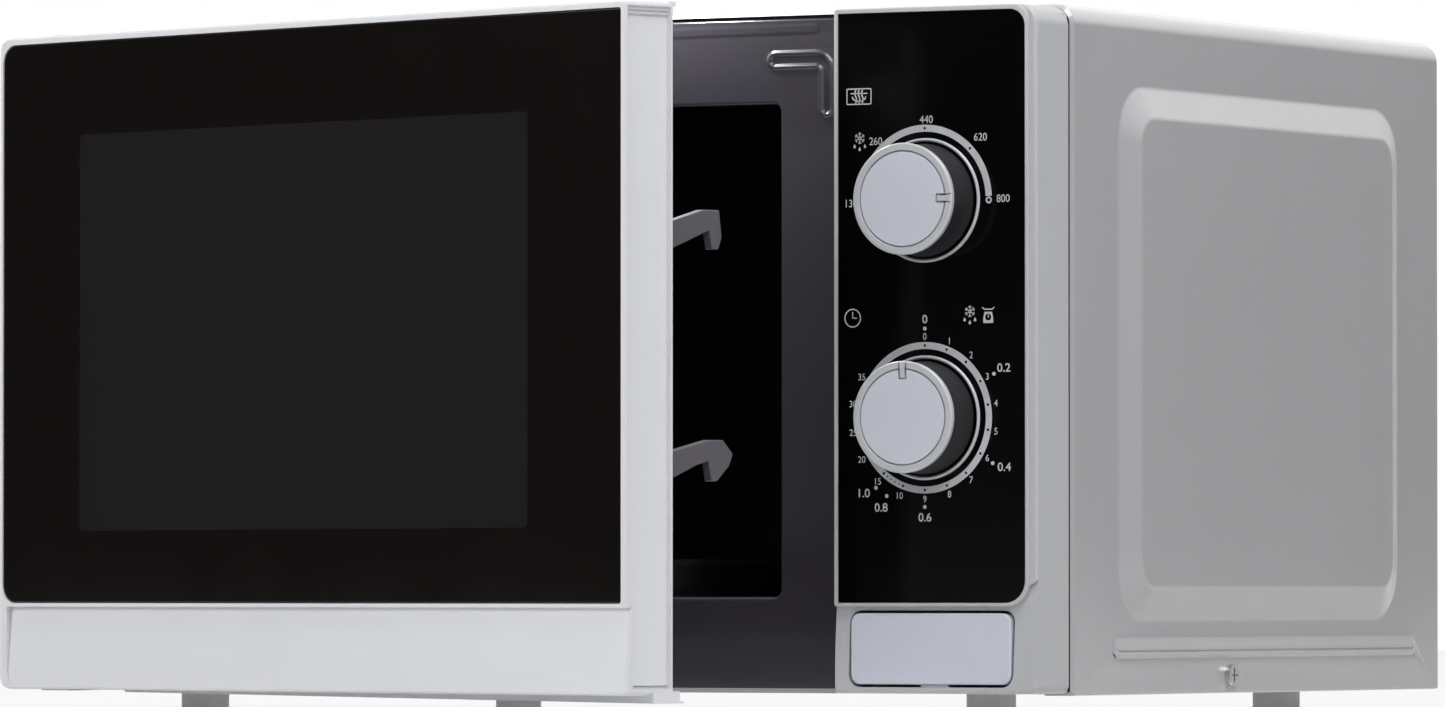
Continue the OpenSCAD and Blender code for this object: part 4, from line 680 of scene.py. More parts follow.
def press_side(bm, side, y_start, y_end):
    """One side with its raised panel and its bead pressed outwards, and a hole for a screw."""
    low, first, last = cabinet.z0, cabinet.y0 + 35.3, cabinet.y1 - 25
    foot = Box(first, low + 26.4, cabinet.y1 - 36.7, cabinet.z1 - 27)
    run, corner, proud = 13, 20, cabinet.x1 - SIDE_X  # width of the slope, its corners and its height
    raised = [(round_box(foot, corner + 0.2 * run * t, run * t), proud * swell(t)) for t in RISE]
    middle = low + 17
    bead = []
    for upper, lower in BEAD_RINGS:
        z = middle + (upper + lower) / 2
        bead.append(ribbon([(first, z), (last, z)], (upper - lower) / 2))
    z0, z1 = low + 0.8, cabinet.z1 - BEND
    edge = [(y_start, z0), (y_end, z0), (y_end, z1), (y_start, z1)]
    hole = circle(cabinet.y0 + 126.3, low + 6.6, 1.9)
    sheet(bm, edge, [raised[0][0], bead[0], hole], lambda y, z: (side * SIDE_X, y, z))
    loft(bm, [at_x(ring, side * (SIDE_X + height)) for ring, height in raised], first=False)
    rings = []
    for ring in bead:
        heights = [bead_height(z - middle, y - first, last - y) for y, z in ring]
        rings.append([(side * (SIDE_X + height), y, z) for height, (y, z) in zip(heights, ring)])
    loft(bm, rings, first=False)


class OVEN_OT_cabinet(bpy.types.Operator):
    """The painted wrap-round cabinet with its rolled front edge and pressed sides"""

    bl_idname = "oven.cabinet"
    bl_label = "Cabinet"

    def execute(self, context):
        roll, fold = 1.5, 1.0  # radius of the front edge and of the back edge
        start, end = cabinet.y0 + roll, cabinet.y1 - fold
        bm = bmesh.new()
        # rolled front edge, running back inside the cabinet as a hem
        rings = [at_y(wrap(2 * SHEET), cabinet.y0 + HEM)]
        for draw, fall in rolled(6):
            rings.append(at_y(wrap(2 * SHEET * (1 - draw)), cabinet.y0 + roll * draw))
        skin(bm, rings, closed=False)
        for side in (-1, 1):
            press_side(bm, side, start, end)
        # the top with its bends, then both lower edges with their flanges
        strips = [[(x, z) for x, z in wrap(0) if z >= cabinet.z1 - BEND - 0.001]]
        strips += [[(side * x, z) for x, z in half_wrap(0)[:4]] for side in (-1, 1)]
        for strip in strips:
            skin(bm, [at_y(strip, start), at_y(strip, end)], closed=False)
        # back edge, bent in behind the rear panel
        rings = [at_y(wrap(fold * draw)[1:-1], end + fold * (1 - fall)) for draw, fall in rolled(4)]
        rings.append(at_y(wrap(TURN_IN)[1:-1], cabinet.y1))
        skin(bm, rings, closed=False)
        finish = "powder_painted_steel"
        build("cabinet_shell", bm, "oven", finish, ("outer_cabinet",), sharp=35)
        return {"FINISHED"}


def frame_ribs(opening):
    """The pressed lines of the front frame: for each its rings, with how far they stand out."""
    x1, z1 = opening.x1 + 21.9, opening.z1 + 18.4
    half, r = 2.4, 4.5
    z = z1 - half
    paths = (
        [(x1 - 26.1 + half, z), *arc(x1 - half - r, z - r, r, PI / 2, -PI / 2, 6), (x1 - half, z1 - 20.2)],
        [(x1 + 4.8 + half, z), (panel.x0 + 6, z)],
        [(opening.x0 - 17 + half, z), (opening.x0 + 14 - half, z)],
    )
    ribs = [[(ribbon(path, half + wide), height) for wide, height in RIB] for path in paths]
    # a faint step left by the press along the top
    crease = [(opening.x0 + 20 + 40 * k, z1 + 8.6 + 0.35 * sin(2.1 * k)) for k in range(8)]
    shares = [k / 8 for k in range(9)]
    return ribs + [[(ribbon(crease, 2.6 - 2.0 * t), 0.16 * swell(t, 0.4)) for t in shares]]


class OVEN_OT_front_frame(bpy.types.Operator):
    """The enamelled front frame with its pressed ribs and rolled cavity opening"""

    bl_idname = "oven.front_frame"
    bl_label = "Front frame"

    def execute(self, context):
        f, y = face_frame, cabinet.y0
        rim = Box(f.x0 + 0.9, f.z0, f.x1 - 0.9, f.z1 - 0.9)
        corner, edge = (1, 1, 6, 6), 0.8  # the sheet's outline
        roll, inner = 1.6, 3  # radius of the opening's rolled edge and of its corners
        opening = Box(inside.x0 + 10.3, inside.z0 + 14.45, inside.x1 - 10.3, inside.z1 - 14.45)
        mouth = grown(opening, roll)
        ribs = frame_ribs(opening)
        # latch slots and the opening behind the control panel
        tips = (cabinet.z0 + 76.4, cabinet.z0 + 158.7)
        slots = [round_box(Box(hook.x0 - 0.7, tip - 6.4, hook.x1 + 4.1, tip + 20), 1) for tip in tips]
        behind = Box(panel.x0 + 8, cabinet.z0 + 60, panel.x1 - 7.35, cabinet.z1 - 33)
        slots.append(round_box(behind, 3))
        holes = [round_box(mouth, inner + roll)] + [rings[0][0] for rings in ribs] + slots
        bm = bmesh.new()
        sheet(bm, round_box(rim, corner, edge), holes, lambda x, z: (x, y, z))
        for rings in ribs:
            loft(bm, [at_y(ring, y - height) for ring, height in rings], first=False)
        # rolled edge of the opening, then a short lip into the cavity
        rings = []
        for draw, fall in rolled(6):
            rings.append(at_y(round_box(mouth, inner + roll, roll * (1 - fall)), y + roll * draw))
        skin(bm, rings + [at_y(round_box(opening, inner), y + 5)])
        # outer edge turned back
        rings = [at_y(round_box(rim, corner, edge * fall), y + edge * draw) for draw, fall in rolled(4)]
        rings.append(at_y(round_box(rim, corner), y + 3))
        rings += [at_y(round_box(f.flat, corner), depth) for depth in (y + 3, f.y1)]
        skin(bm, rings)
        for slot in slots:
            skin(bm, [at_y(slot, y), at_y(slot, y + SHEET)])
        finish = "grey_stoved_enamel"
        build("front_frame_sheet", bm, "oven", finish, ("front_frame",), sharp=35)
        # the turned-up edge of the base sheet shows as a pale line under the frame
        lip = block(f.x0 + 1, f.x1 - 1, y - 0.7, y + 0.5, f.z0 - 0.4, f.z0 + 1.3)
        soften(lip, 0.25)
        build("base_sheet_edge", lip, "oven", "powder_painted_steel")
        return {"FINISHED"}


# -------------------- door


def strip_cuts(z_low, z_high, depth):
    """Tools for the strip under the glass, which is deep under the lip and almost flush at the bottom."""
    d, start, turn_x = door, door.y0 - CLEAR, door.x1 - 3

    def strip_y(x, z):
        return d.y0 + 0.3 + (depth - 0.3) * (z - z_low) / (z_high - z_low)

    def end_y(x, z):
        return strip_y(x, z) + 0.12 * (x - turn_x)

    def edge_y(x, z):
        return strip_y(x, z) + 0.3 + 0.8 * (x - d.x1 + 0.8)

    def left_y(x, z):
        return d.y0 + 0.45 * (d.x0 + 3.2 - x)

    end = d.x1 + CLEAR
    return [
        wedge(round_box(Box(d.x0 + 6.0, z_low, turn_x, z_high), (6, 0.1, 0.1, 0.8)), start, strip_y),
        wedge(round_box(Box(turn_x - 0.5, z_low, end, z_high), 0.1), start, end_y),
        wedge(round_box(Box(d.x1 - 0.8, z_low - 3, end, z_high), 0.1), start, edge_y),
        wedge(round_box(Box(d.x0 - 2, d.z0 - 2, d.x0 + 3.2, d.z1 + 2), 0.1), start, left_y),
    ]


def recess_cuts(z_high, depth, recess):
    """Tools for the recess in the door's edge: steps under its top, deeper at its foot."""
    d, far = door, door.x1 + CLEAR
    foot, rear = d.z0 + 2.2, d.y1 - 1.0
    cuts = []
    for share, under in ((1, 4.7), (0.66, 3.3), (0.33, 2.0)):
        cuts.append(block(d.x1 - recess * share, far, d.y0 + 1.3, rear, z_high + 0.4, d.z1 - under))
    # beside the strip it starts behind the strip's slanted end, with a groove along it
    upper, lower = d.y0 + depth + 2.2, d.y0 + 2.6
    beside = [(upper, z_high + 0.5), (rear, z_high + 0.5), (rear, foot), (lower, foot)]
    groove = [(upper, z_high + 0.4), (upper + 1.2, z_high + 0.4), (lower + 1.2, foot), (lower, foot)]
    cuts.append(cross_prism(beside, d.x1 - recess, far))
    cuts.append(cross_prism(groove, d.x1 - recess - 1.6, far))
    cuts.append(block(d.x1 - recess - 0.6, far, lower + 3, rear, foot, foot + 1.2))
    return cuts


def door_flanges():
    """The flanges along the bottom and the top, which reach back towards the cabinet."""
    d, end, low = door, door.x1 - 0.1, door.z0
    flange = [(d.x0 + 70, low - 0.3), (end, low - 2.2), (end, low + 1.4), (d.x0 + 70, low + 1.4)]
    lip = [(d.x0 + 60, low - 0.9), (end, low - 2.9), (end, low - 2.1), (d.x0 + 60, low - 0.2)]
    upper = block(d.x0 + 9, end, d.y1 - 1, d.y1 + 1.4, d.z1 - 1.5, d.z1)
    return [prism(flange, d.y1 - 9, d.y1 + 3.6), prism(lip, d.y1 - 9, d.y1 + 5.2), upper]


def door_moulding():
    d, depth = door, size("strip_depth")
    z_low, z_high = d.z0 + 1.2, glass.z0 - 1.6
    seat = prism(round_box(grown(pane, 0.15), (7.15, 1, 1, 7.15)), d.y0 - 2, glass.y1 + 0.3)
    through = prism(round_box(grown(window, 6), 5), d.y0 - 2, d.y1 + 2)
    hollow = prism(round_box(grown(d.flat, -2.5), (4, 1, 1, 4)), glass.y1 + 2.5, d.y1 + 2)
    cuts = [seat, *strip_cuts(z_low, z_high, depth), through, hollow]
    cuts += recess_cuts(z_high, depth, size("side_recess"))
    return carve(slab(d.flat, (7.1, 1.6, 1.6, 7.1), d.y1, d.y0, 1.0), cuts, door_flanges())


def door_pane():
    """The glass: black border, smoked window."""
    radii, fillet = (7, 1, 1, 7), 0.5
    clear, rear = round_box(window, size("window_corner")), round_box(pane, radii, 0.3)
    bm = bmesh.new()
    rings = [at_y(rear, glass.y1), at_y(round_box(pane, radii), glass.y1 - 0.3)]
    for draw, fall in rolled(4):
        rings.append(at_y(round_box(pane, radii, fillet * draw), glass.y0 + fillet * fall))
    rows = skin(bm, rings + [at_y(clear, glass.y0)])
    bm.faces.new(rows[-1]).material_index = 1
    rows = skin(bm, [at_y(clear, glass.y1), at_y(rear, glass.y1)])
    bm.faces.new(rows[0][::-1]).material_index = 1
    return bm


def softened_hook():
    bm = bmesh.new()
    bm.from_mesh(frame["nodes"]["latch_hook"].data)
    bm.transform(Matrix.Scale(MM, 4))
    bmesh.ops.remove_doubles(bm, verts=bm.verts, dist=0.01)
    bmesh.ops.dissolve_limit(bm, angle_limit=radians(0.8), verts=bm.verts, edges=bm.edges)
    soften(bm, 0.45)
    return bm


class OVEN_OT_door(bpy.types.Operator):
    """The door's white moulding, its glass and the latch hook"""

    bl_idname = "oven.door"
    bl_label = "Door"

    def execute(self, context):
        bm = door_moulding()
        build("door_moulding", bm, "door", "polished_white_abs", ("door_frame",), DOOR_POSE)
        bm, finishes = door_pane(), "black_backed_glass smoked_glass"
        build("door_glass_pane", bm, "door", finishes, ("door_glass",), DOOR_POSE)
        bm = softened_hook()
        build("latch_hook_moulding", bm, "latch_hook", "grey_acetal", ("latch_hook",))
        return {"FINISHED"}


# -------------------- control panel

film = Box(plate.x0 + 0.8, plate.z0, plate.x1, plate.z1)


def panel_body():
    """The moulding: a pad behind the film, and under it a zone that leans back round the button."""
    p, b, y = panel, button, door.y0
    pad = Box(p.x0, p.z0 + 31.2, p.x1 - 2.85, p.z1)
    r, gap = 8.5, 1.0  # the pad's lower right corner and the gap round the button
    # the zone ends in a step under the pad, which flares out to the right
    outline = [(p.x0 - 3, p.z0 - 1), (p.x1 + 3, p.z0 - 1), (p.x1 + 3, pad.z0 + 11.5)]
    outline += [(pad.x1 + 1.2, pad.z0 + 8.3)] + arc(pad.x1 - r, pad.z0 + r, r, 0, -PI / 2, 12)[1:]
    outline.append((p.x0 - 3, pad.z0))
    seat = Box(film.x0 - 0.1, film.z0 - 0.15, film.x1 + 0.15, film.z1 + 0.15)
    cuts = [
        wedge(outline, y - CLEAR, lambda x, z: y + 0.1 + 2.3 * (z - p.z0 - 2) / (pad.z0 - p.z0 - 2)),
        prism(round_box(seat, (0.6, 8.1, 6.1, 0.6)), y - 2, plate.y1),
        block(p.x0 + 2.2, p.x1 - 2.2, y + 4.5, y + 24.5, p.z0 + 2.2, p.z0 + 32),
        prism(round_box(grown(b.flat, gap), 4.4), y - CLEAR, y + 12),
        block(p.x0 + 2.2, p.x1 - 2.2, y + 5, y + 30, p.z0 + 36, p.z1 - 9),
        # shadow gap before the cabinet
        block(p.x1 - 1.3, p.x1 + 3, y + 26.2, y + 30, p.z0 - 3, p.z1 + 3),
    ]
    joins = [
        slab(Box(p.x0, p.z0, p.x1, pad.z0 + 1), (1, 3, 1, 1), y + 4.5, y, 1.4),
        slab(pad, (1, r, 6, 1), y + 4.5, y, 0.6),
    ]
    bm = carve(slab(p.flat, (1, 3, 7.1, 1), y + 27.5, y + 1.5, 1.0), cuts, joins)
    tab = block(b.x0 + 28.2, b.x1 - 25.3, y + 0.9, y + 3, b.z0 - gap - 0.5, b.z0 - 0.15)
    return carve(bm, joins=[tab])


def button_body():
    """The button's hollow cap with the stem in its middle."""
    b, y, wall = button, door.y0, 1.8
    hollow = prism(round_box(grown(b.flat, -wall), wall), y + 2.3, y + 12)
    bm = carve(slab(b.flat, 3.5, y + 10.3, y + 0.3, 0.7), [hollow])
    stem = [(0.01, y + 2.2), (4, y + 2.2), (4, b.y1 - 0.4), (3.6, b.y1), (0.01, b.y1)]
    spring = Span("button_spring")
    revolve(bm, stem, spring.cx, spring.cz, 40)
    return bm


class OVEN_OT_panel_moulding(bpy.types.Operator):
    """The control panel's moulding, its black film and the push button"""

    bl_idname = "oven.panel_moulding"
    bl_label = "Control panel"

    def execute(self, context):
        build("panel_moulding", panel_body(), "oven", "satin_grey_abs", ("control_panel",))
        bm = slab(film, (0.5, 8, 6, 0.5), plate.y1, plate.y0, 0.12, 2)
        build("panel_film", bm, "oven", "black_panel_film", ("control_plate",))
        build("push_button", button_body(), "door_button", "blue_grey_abs", ("door_button",))
        return {"FINISHED"}


RIM = 2.75  # width of a knob's silver rim
POINTER_HALF, POINTER_LONG = 1.25, 3.4  # half the pointer's width, and its length
BARREL_WALL = 2.6  # thickness of the skirt


def notched_circle(cap, r, half, turn):
    """A circle about a knob's axis with a notch of half width half cut into it, at the angle turn."""
    start = asin(half / r)
    inner = r * cos(start) - POINTER_LONG
    soft = min(0.45, half * 0.6)
    points = arc(0, 0, r, start, 2 * PI - 2 * start, 120)
    points += arc(inner + soft, -half + soft, soft, -PI / 2, -PI / 2, 4)
    points += arc(inner + soft, half - soft, soft, PI, -PI / 2, 4)
    c, s = cos(turn), sin(turn)
    return [(cap.cx + x * c - z * s, cap.cz + x * s + z * c) for x, z in points]


def knob_faces(cap, r, turn):
    """The rim, whose pointer reaches into the disc, and the disc, flush inside a hairline gap."""
    front, back = cap.y0, cap.y1

    def notch(grow):
        return notched_circle(cap, r - RIM + grow, POINTER_HALF - grow, turn)

    angles = [atan2(z - cap.cz, x - cap.cx) for x, z in notch(0)]

    def turned(q):
        return [(cap.cx + q * cos(a), cap.cz + q * sin(a)) for a in angles]

    rim = bmesh.new()
    rings = [at_y(turned(r - 0.5), back), at_y(turned(r - 0.12), back - 0.5), at_y(turned(r), front + 0.6)]
    rings += [at_y(turned(r - 0.6 * draw), front + 0.6 * fall) for draw, fall in rolled(5, 1)]
    rings.append(at_y(turned(r - 0.9), front))
    steps = ((0.25, 0), (0.14, 0.12), (0.1, 0.45), (0.1, 1.6))
    rings += [at_y(notch(grow), front + deep) for grow, deep in steps]
    skin(rim, rings)
    sheet(rim, turned(r - 0.5), [], lambda x, z: (x, back, z))
    sheet(rim, notch(0.1), [], lambda x, z: (x, front + 1.6, z))
    disc = bmesh.new()
    steps = ((-0.4, 1.5), (-0.4, 0.25), (-0.45, 0.14), (-0.6, 0.1))
    skin(disc, [at_y(notch(grow), front + deep) for grow, deep in steps])
    sheet(disc, notch(-0.6), [], lambda x, z: (x, front + 0.1, z))
    return rim, disc


def barrel_profile(skirt, r):
    """The skirt's section as (radius, y): a straight barrel that flares towards the panel."""
    y0, y1 = skirt.y0, skirt.y1
    bore = r - BARREL_WALL
    flare = [(bore, y1), (r, y1), (r + 0.2, y1 - 0.3), (r + 0.12, y1 - 1.2)]
    barrel = [(r - 0.15, y1 - 4), (r - 0.32, y1 - 8), (r - 0.4, y0 + 0.6), (r - 0.55, y0 + 0.1)]
    return flare + barrel + [(r - 1.2, y0), (0.01, y0), (0.01, y0 + 1.8), (bore, y0 + 1.8)]


class OVEN_OT_knobs(bpy.types.Operator):
    """Both knobs: black skirt, silver rim with its pointer, and the disc set into it"""

    bl_idname = "oven.knobs"
    bl_label = "Knobs"

    def execute(self, context):
        for body, cap, turn in (("timer_knob", timer_cap, PI / 2), ("power_knob", power_cap, 0)):
            r = (cap.z1 - cap.z0) / 2
            rim, disc = knob_faces(cap, r, turn)
            build(body + "_rim", rim, body, "silver_lacquer", (body + "_cap",), sharp=45)
            build(body + "_disc", disc, body, "spun_silver_disc", sharp=45)
            barrel = bmesh.new()
            revolve(barrel, barrel_profile(Span(body + "_skirt"), r), cap.cx, cap.cz, closed=True)
            skirt = (body + "_skirt",)
            build(body + "_barrel", barrel, body, "satin_black_abs", skirt, sharp=45)
        # silver rings round the knobs, half-round in section
        bm = bmesh.new()
        rings = Span("knob_base_rings")
        middle, half, proud = 21.7, 0.62, 0.8
        angles = [k * PI / 8 for k in range(9)]
        section = [(middle + half * cos(a), rings.y1 - proud * sin(a)) for a in angles]
        for cap in (timer_cap, power_cap):
            revolve(bm, section, cap.cx, cap.cz, closed=True)
        build("dial_rings", bm, "oven", "silver_lacquer", ("knob_base_rings",), sharp=60)
        return {"FINISHED"}


# -------------------- print on the panel

BAND = (24.6, 27.1)  # radii of the printed bands


class Print:
    """Ink on the panel film, gathered in one mesh."""

    SUNK = 0.12  # how far the ink reaches back into the film

    def __init__(self):
        self.bm = bmesh.new()
        self.front = plate.y0 - size("ink")

    def area(self, outer, *holes, lift=0.0):
        sheet(self.bm, outer, list(holes), lambda x, z: (x, self.front - lift, z))

    def patch(self, outline):
        loft(self.bm, [at_y(outline, self.front + self.SUNK), at_y(outline, self.front)])

    def line(self, points, width):
        self.patch(ribbon(points, width / 2, 6))

    def band(self, knob, start, end, dots):
        """A ring round a knob between two angles in degrees, clockwise from the top, with holes for dots."""
        x, z = knob.cx, knob.cz
        full = end - start >= 360
        count = max(12, int((end - start) / 3))
        turns = [start + (end - start) * i / count for i in range(count if full else count + 1)]
        holes = [circle(*polar(x, z, (BAND[0] + BAND[1]) / 2, a), r, 12) for a, r in dots]
        inner, outer = ([polar(x, z, r, a) for a in turns] for r in BAND)
        if full:
            self.area(outer, inner, *holes)
        else:
            self.area(outer + inner[::-1], *holes)

    def text(self, words, x, z, height, weight=0.0, squeeze=0.92):
        data = bpy.data.curves.new("numeral", "FONT")
        data.body, data.align_x, data.align_y = words, "CENTER", "CENTER"
        data.offset, data.extrude = weight, 0.02
        obj = placed("numeral", data)
        mesh = shaped(obj)
        bpy.data.objects.remove(obj)
        low, high = (Vector([pick(v.co[i] for v in mesh.vertices) for i in range(2)]) for pick in (min, max))
        middle, scale = (low + high) / 2, height / (high.y - low.y)
        for v in mesh.vertices:
            u, w = (v.co.x - middle.x) * scale * squeeze, (v.co.y - middle.y) * scale
            v.co = (x + u, self.front + (0 if v.co.z > 0 else self.SUNK), z + w)
        mesh.update()
        self.bm.from_mesh(mesh)


def timer_scale(ink):
    """A minute takes 20 degrees up to ten, then five minutes take 20 degrees; the weights stand outside."""
    x, z = timer_cap.cx, timer_cap.cz
    marks = {**{n: 20 * n for n in range(11)}, 15: 220, 20: 240, 25: 260, 30: 280, 35: 300}
    minutes = [(200 + 4 * k, 0.28) for k in range(1, 5)]
    ink.band(timer_cap, 0, 360, [(a, 0.5) for a in marks.values()] + minutes)
    for number, a in marks.items():
        ink.text(str(number), *polar(x, z, 29.1 if number < 10 else 29.6, a), size("numeral"))
    for label, a, r in (
        ("0", 0, 35.3), ("0.2", 61, 36.4), ("0.4", 119, 36.6), ("0.6", 180, 35.6), ("0.8", 209, 36.6),
        ("1.0", 222.5, 36.4),
    ):
        ink.text(label, *polar(x, z, r, a), size("large_numeral"), 0.01, 1.04)
    for a in (0, 61, 121, 180, 209, 218.5):
        ink.patch(circle(*polar(x, z, 31.9, a), 0.72))


def power_scale(ink):
    """Half a turn over the top, ending in an open circle."""
    x, z = power_cap.cx, power_cap.cz
    ink.band(power_cap, -90, 87.5, [(a, 0.5) for a in (-90, -45, 0, 45)])
    end = x + (BAND[0] + BAND[1]) / 2, z - 0.3
    ink.area(circle(*end, 1.25), circle(*end, 0.62), lift=0.005)  # clear of the band under it
    for label, dx, dz in (
        ("130", -29.8, -0.6), ("260", -19.9, 21.6), ("440", 0.6, 29.0), ("620", 22.5, 22.3),
        ("800", 31.6, 0.2),
    ):
        ink.text(label, x + dx, z + dz, size("numeral") * 1.15)


def waves(ink, x, z):
    """A dish under three waves, in a frame: microwave power."""
    border = Box(x - 5.1, z - 2.95, x + 5.1, z + 2.95)
    ink.area(round_box(border, 0.5), round_box(grown(border, -0.4), 0.2))
    for k in (-1, 0, 1):
        wave = [(x + k * 1.35 + 0.35 * sin(PI * t / 4), z - 2.2 + 4.4 * t / 8) for t in range(9)]
        ink.line(wave, 0.5)
    ink.line([(x - 3.3, z + 1.1), (x + 3.3, z + 1.1)], 0.4)
    dish = [PI * k / 10 for k in range(11)]
    ink.line([(x - 2.7 * cos(a), z - 0.2 - 1.5 * sin(a)) for a in dish], 0.45)


def flake(ink, x, z):
    """A snowflake over three drops: defrosting."""
    for k in range(3):
        a = PI / 6 + k * PI / 3
        dx, dz = 1.9 * cos(a), 1.9 * sin(a)
        ink.line([(x - dx, z + 1.2 - dz), (x + dx, z + 1.2 + dz)], 0.42)
        for sign in (-1, 1):
            tip = x + sign * dx * 0.62, z + 1.2 + sign * dz * 0.62
            for side in (-0.7, 0.7):
                b = a + side + (0 if sign > 0 else PI)
                ink.line([tip, (tip[0] + 0.75 * cos(b), tip[1] + 0.75 * sin(b))], 0.32)
    for dx, dz in ((-2.1, -1.9), (0, -2.9), (2.1, -1.9)):
        ink.patch(arc(x + dx, z + dz, 0.5, 0.75 * PI, 1.5 * PI, 8) + [(x + dx, z + dz + 1.05)])


def clock(ink, x, z):
    ink.area(circle(x, z, 3.4, 40), circle(x, z, 2.95, 40))
    ink.line([(x, z + 2.0), (x, z), (x + 1.5, z)], 0.42)


def scales(ink, x, z):
    """Kitchen scales: weight."""
    ink.line([(x - 2.3, z + 2.9), (x - 1.6, z + 2.3), (x + 1.6, z + 2.3), (x + 2.3, z + 2.9)], 0.4)
    half = ((2.0, -2.6), (2.0, -1.0), (1.5, 1.4))
    outline = [(x + dx, z + dz) for dx, dz in half] + [(x - dx, z + dz) for dx, dz in half[::-1]]
    ink.area(outline, circle(x, z - 0.5, 1.25))
    ink.line([(x, z - 0.6), (x, z + 0.3)], 0.3)


class OVEN_OT_print(bpy.types.Operator):
    """Scales, numbers and plain pictograms printed on the panel film"""

    bl_idname = "oven.panel_print"
    bl_label = "Panel print"

    def execute(self, context):
        ink = Print()
        timer_scale(ink)
        power_scale(ink)
        for draw, knob, dx, dz in (
            (waves, power_cap, -26.7, 37.8),
            (flake, power_cap, -26.4, 21.6),
            (clock, timer_cap, -29.3, 36.0),
            (flake, timer_cap, 18.2, 36.6),
            (scales, timer_cap, 25.6, 36.2),
        ):
            draw(ink, knob.cx + dx, knob.cz + dz)
        build("panel_print", ink.bm, "oven", "screen_ink", weigh=False, weld=0.0005)
        return {"FINISHED"}


# -------------------- stage

# Name, place and target in metres, side in metres, power in watts
LAMPS = (
    ("key", (0.5, -2.9, 1.6), (0.05, -0.15, 0.13), 1.8, 19.5),
    ("top", (1.1, -0.7, 2.0), (0.05, -0.1, 0.12), 1.3, 38),
    ("fill_left", (-2.3, -1.9, 1.2), (0, -0.15, 0.13), 1.4, 40),
    ("frame_light", (0.04, -0.171, 0.315), (0.04, -0.165, 0.2), 0.02, 0.36),
)


def place_camera(scene):
    data = bpy.data.cameras.new("camera")
    data.lens, data.sensor_width = 255.39, 36
    data.clip_end = 100
    camera = placed("camera", data)
    camera.location = (1.89237, -3.42213, 0.04722)
    camera.rotation_euler = (PI / 2 + 0.0232, 0, 0.5072)
    scene.camera = camera


def place_lamps():
    for name, place, target, side, power in LAMPS:
        lamp = bpy.data.lights.new(name, "AREA")
        lamp.shape, lamp.size, lamp.energy = "SQUARE", side, power
        obj = placed(name, lamp)
        obj.location = place
        obj.rotation_euler = (Vector(target) - Vector(place)).to_track_quat("-Z", "Y").to_euler()


def floor_finish(white):
    """White laminate that looks white to the camera and in reflections, and still takes the shadow."""
    material = bpy.data.materials.new("white_laminate")
    tree = empty_tree(material)
    matt = add(tree, "ShaderNodeBsdfDiffuse", {"Color": (*white, 1), "Roughness": 0.4})
    glow = add(tree, "ShaderNodeEmission", {"Color": (1, 1, 1, 1), "Strength": 1.0})
    path = add(tree, "ShaderNodeLightPath")
    seen = calc(tree, "MAXIMUM", (path, "Is Camera Ray"), (path, "Is Glossy Ray"))
    seen = calc(tree, "MAXIMUM", seen, (path, "Is Transmission Ray"))
    share = calc(tree, "MULTIPLY", seen, 0.88)
    mix = add(tree, "ShaderNodeMixShader", links={0: share, 1: (matt, "BSDF"), 2: (glow, "Emission")})
    add(tree, "ShaderNodeOutputMaterial", links={"Surface": (mix, "Shader")})
    return material


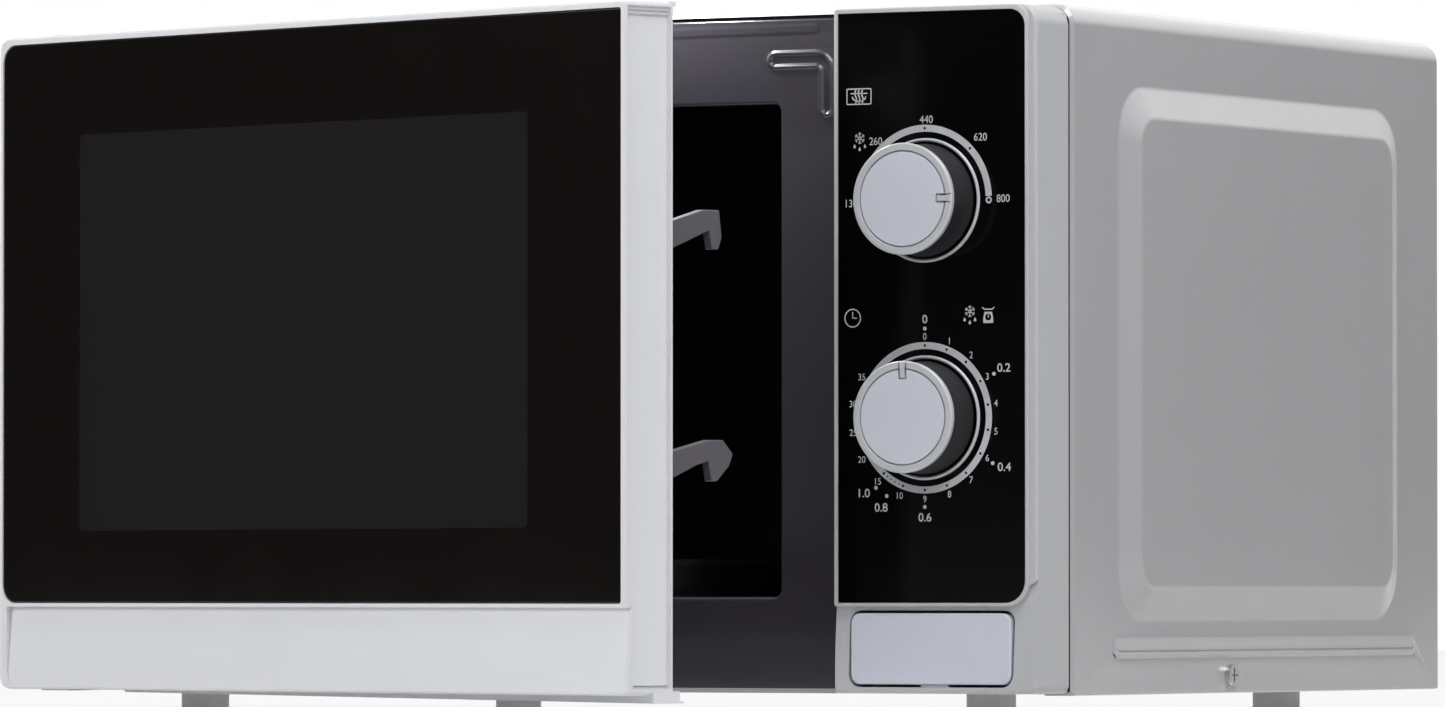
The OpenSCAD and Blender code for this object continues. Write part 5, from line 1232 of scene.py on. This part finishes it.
def surround(scene):
    """A white backdrop behind the oven and a dim room in front of it."""
    world = bpy.data.worlds.new("studio")
    scene.world = world
    tree = empty_tree(world)
    # found by the rays alone, so that the split between matt and glossy holds
    world.cycles.sampling_method = "NONE"
    where = add(tree, "ShaderNodeTexCoord")
    axes = add(tree, "ShaderNodeSeparateXYZ", links={"Vector": (where, "Generated")})
    room = ranged(tree, (axes, "Y"), 0.05, 0.9, -0.3, 0.1)
    # the backdrop ends at the right, where only the ceiling is bright
    backdrop = ranged(tree, (axes, "X"), 1.0, 0.12, 0.12, 0.4)
    ceiling = ranged(tree, (axes, "Z"), 0.0, 1.5, 0.06, 0.3)
    white = calc(tree, "MAXIMUM", backdrop, ceiling)
    path = add(tree, "ShaderNodeLightPath")
    seen = calc(tree, "MAXIMUM", (path, "Is Camera Ray"), (path, "Is Transmission Ray"))
    # what a matt surface receives is dimmer than what a glossy one mirrors
    share = add(tree, "ShaderNodeMix", {2: 1.0, 3: 0.2}, {0: (path, "Is Diffuse Ray"), 2: white})
    around = calc(tree, "MULTIPLY", room, (share, 0))
    level = calc(tree, "MAXIMUM", seen, around)
    glow = add(tree, "ShaderNodeBackground", {"Color": (1, 1, 1, 1)}, {"Strength": level})
    add(tree, "ShaderNodeOutputWorld", links={"Surface": (glow, "Background")})


class OVEN_OT_stage(bpy.types.Operator):
    """Floor, light and camera"""

    bl_idname = "oven.stage"
    bl_label = "Stage"

    def execute(self, context):
        scene = context.scene
        scene.view_settings.view_transform = "Standard"
        place_camera(scene)
        bm = bmesh.new()
        bmesh.ops.create_grid(bm, x_segments=8, y_segments=8, size=4)
        floor = placed("floor", mesh_from("floor", bm))
        floor.data.materials.append(floor_finish(scene.oven_colours.floor))
        place_lamps()
        surround(scene)
        return {"FINISHED"}


STEPS = (
    OVEN_OT_finishes, OVEN_OT_stage, OVEN_OT_cabinet, OVEN_OT_front_frame, OVEN_OT_door,
    OVEN_OT_panel_moulding, OVEN_OT_knobs, OVEN_OT_print,
)


class OVEN_PT_sidebar(bpy.types.Panel):
    """Lists the pieces of the oven"""

    bl_label = "Oven"
    bl_idname = "OVEN_PT_sidebar"
    bl_space_type = "VIEW_3D"
    bl_region_type = "UI"
    bl_category = "Oven"

    def draw(self, context):
        for step in STEPS:
            self.layout.operator(step.bl_idname)
        for group in (context.scene.oven_sizes, context.scene.oven_colours):
            for name in group.__annotations__:
                self.layout.prop(group, name)


CLASSES = (OvenSizes, OvenColours, *STEPS, OVEN_PT_sidebar)


def register():
    for cls in CLASSES:
        bpy.utils.register_class(cls)
    bpy.types.Scene.oven_sizes = bpy.props.PointerProperty(type=OvenSizes)
    bpy.types.Scene.oven_colours = bpy.props.PointerProperty(type=OvenColours)


def unregister():
    del bpy.types.Scene.oven_sizes
    del bpy.types.Scene.oven_colours
    for cls in reversed(CLASSES):
        bpy.utils.unregister_class(cls)


def main():
    register()
    for step in STEPS:
        group, name = step.bl_idname.split(".")
        getattr(getattr(bpy.ops, group), name)()


if __name__ == "__main__":
    main()
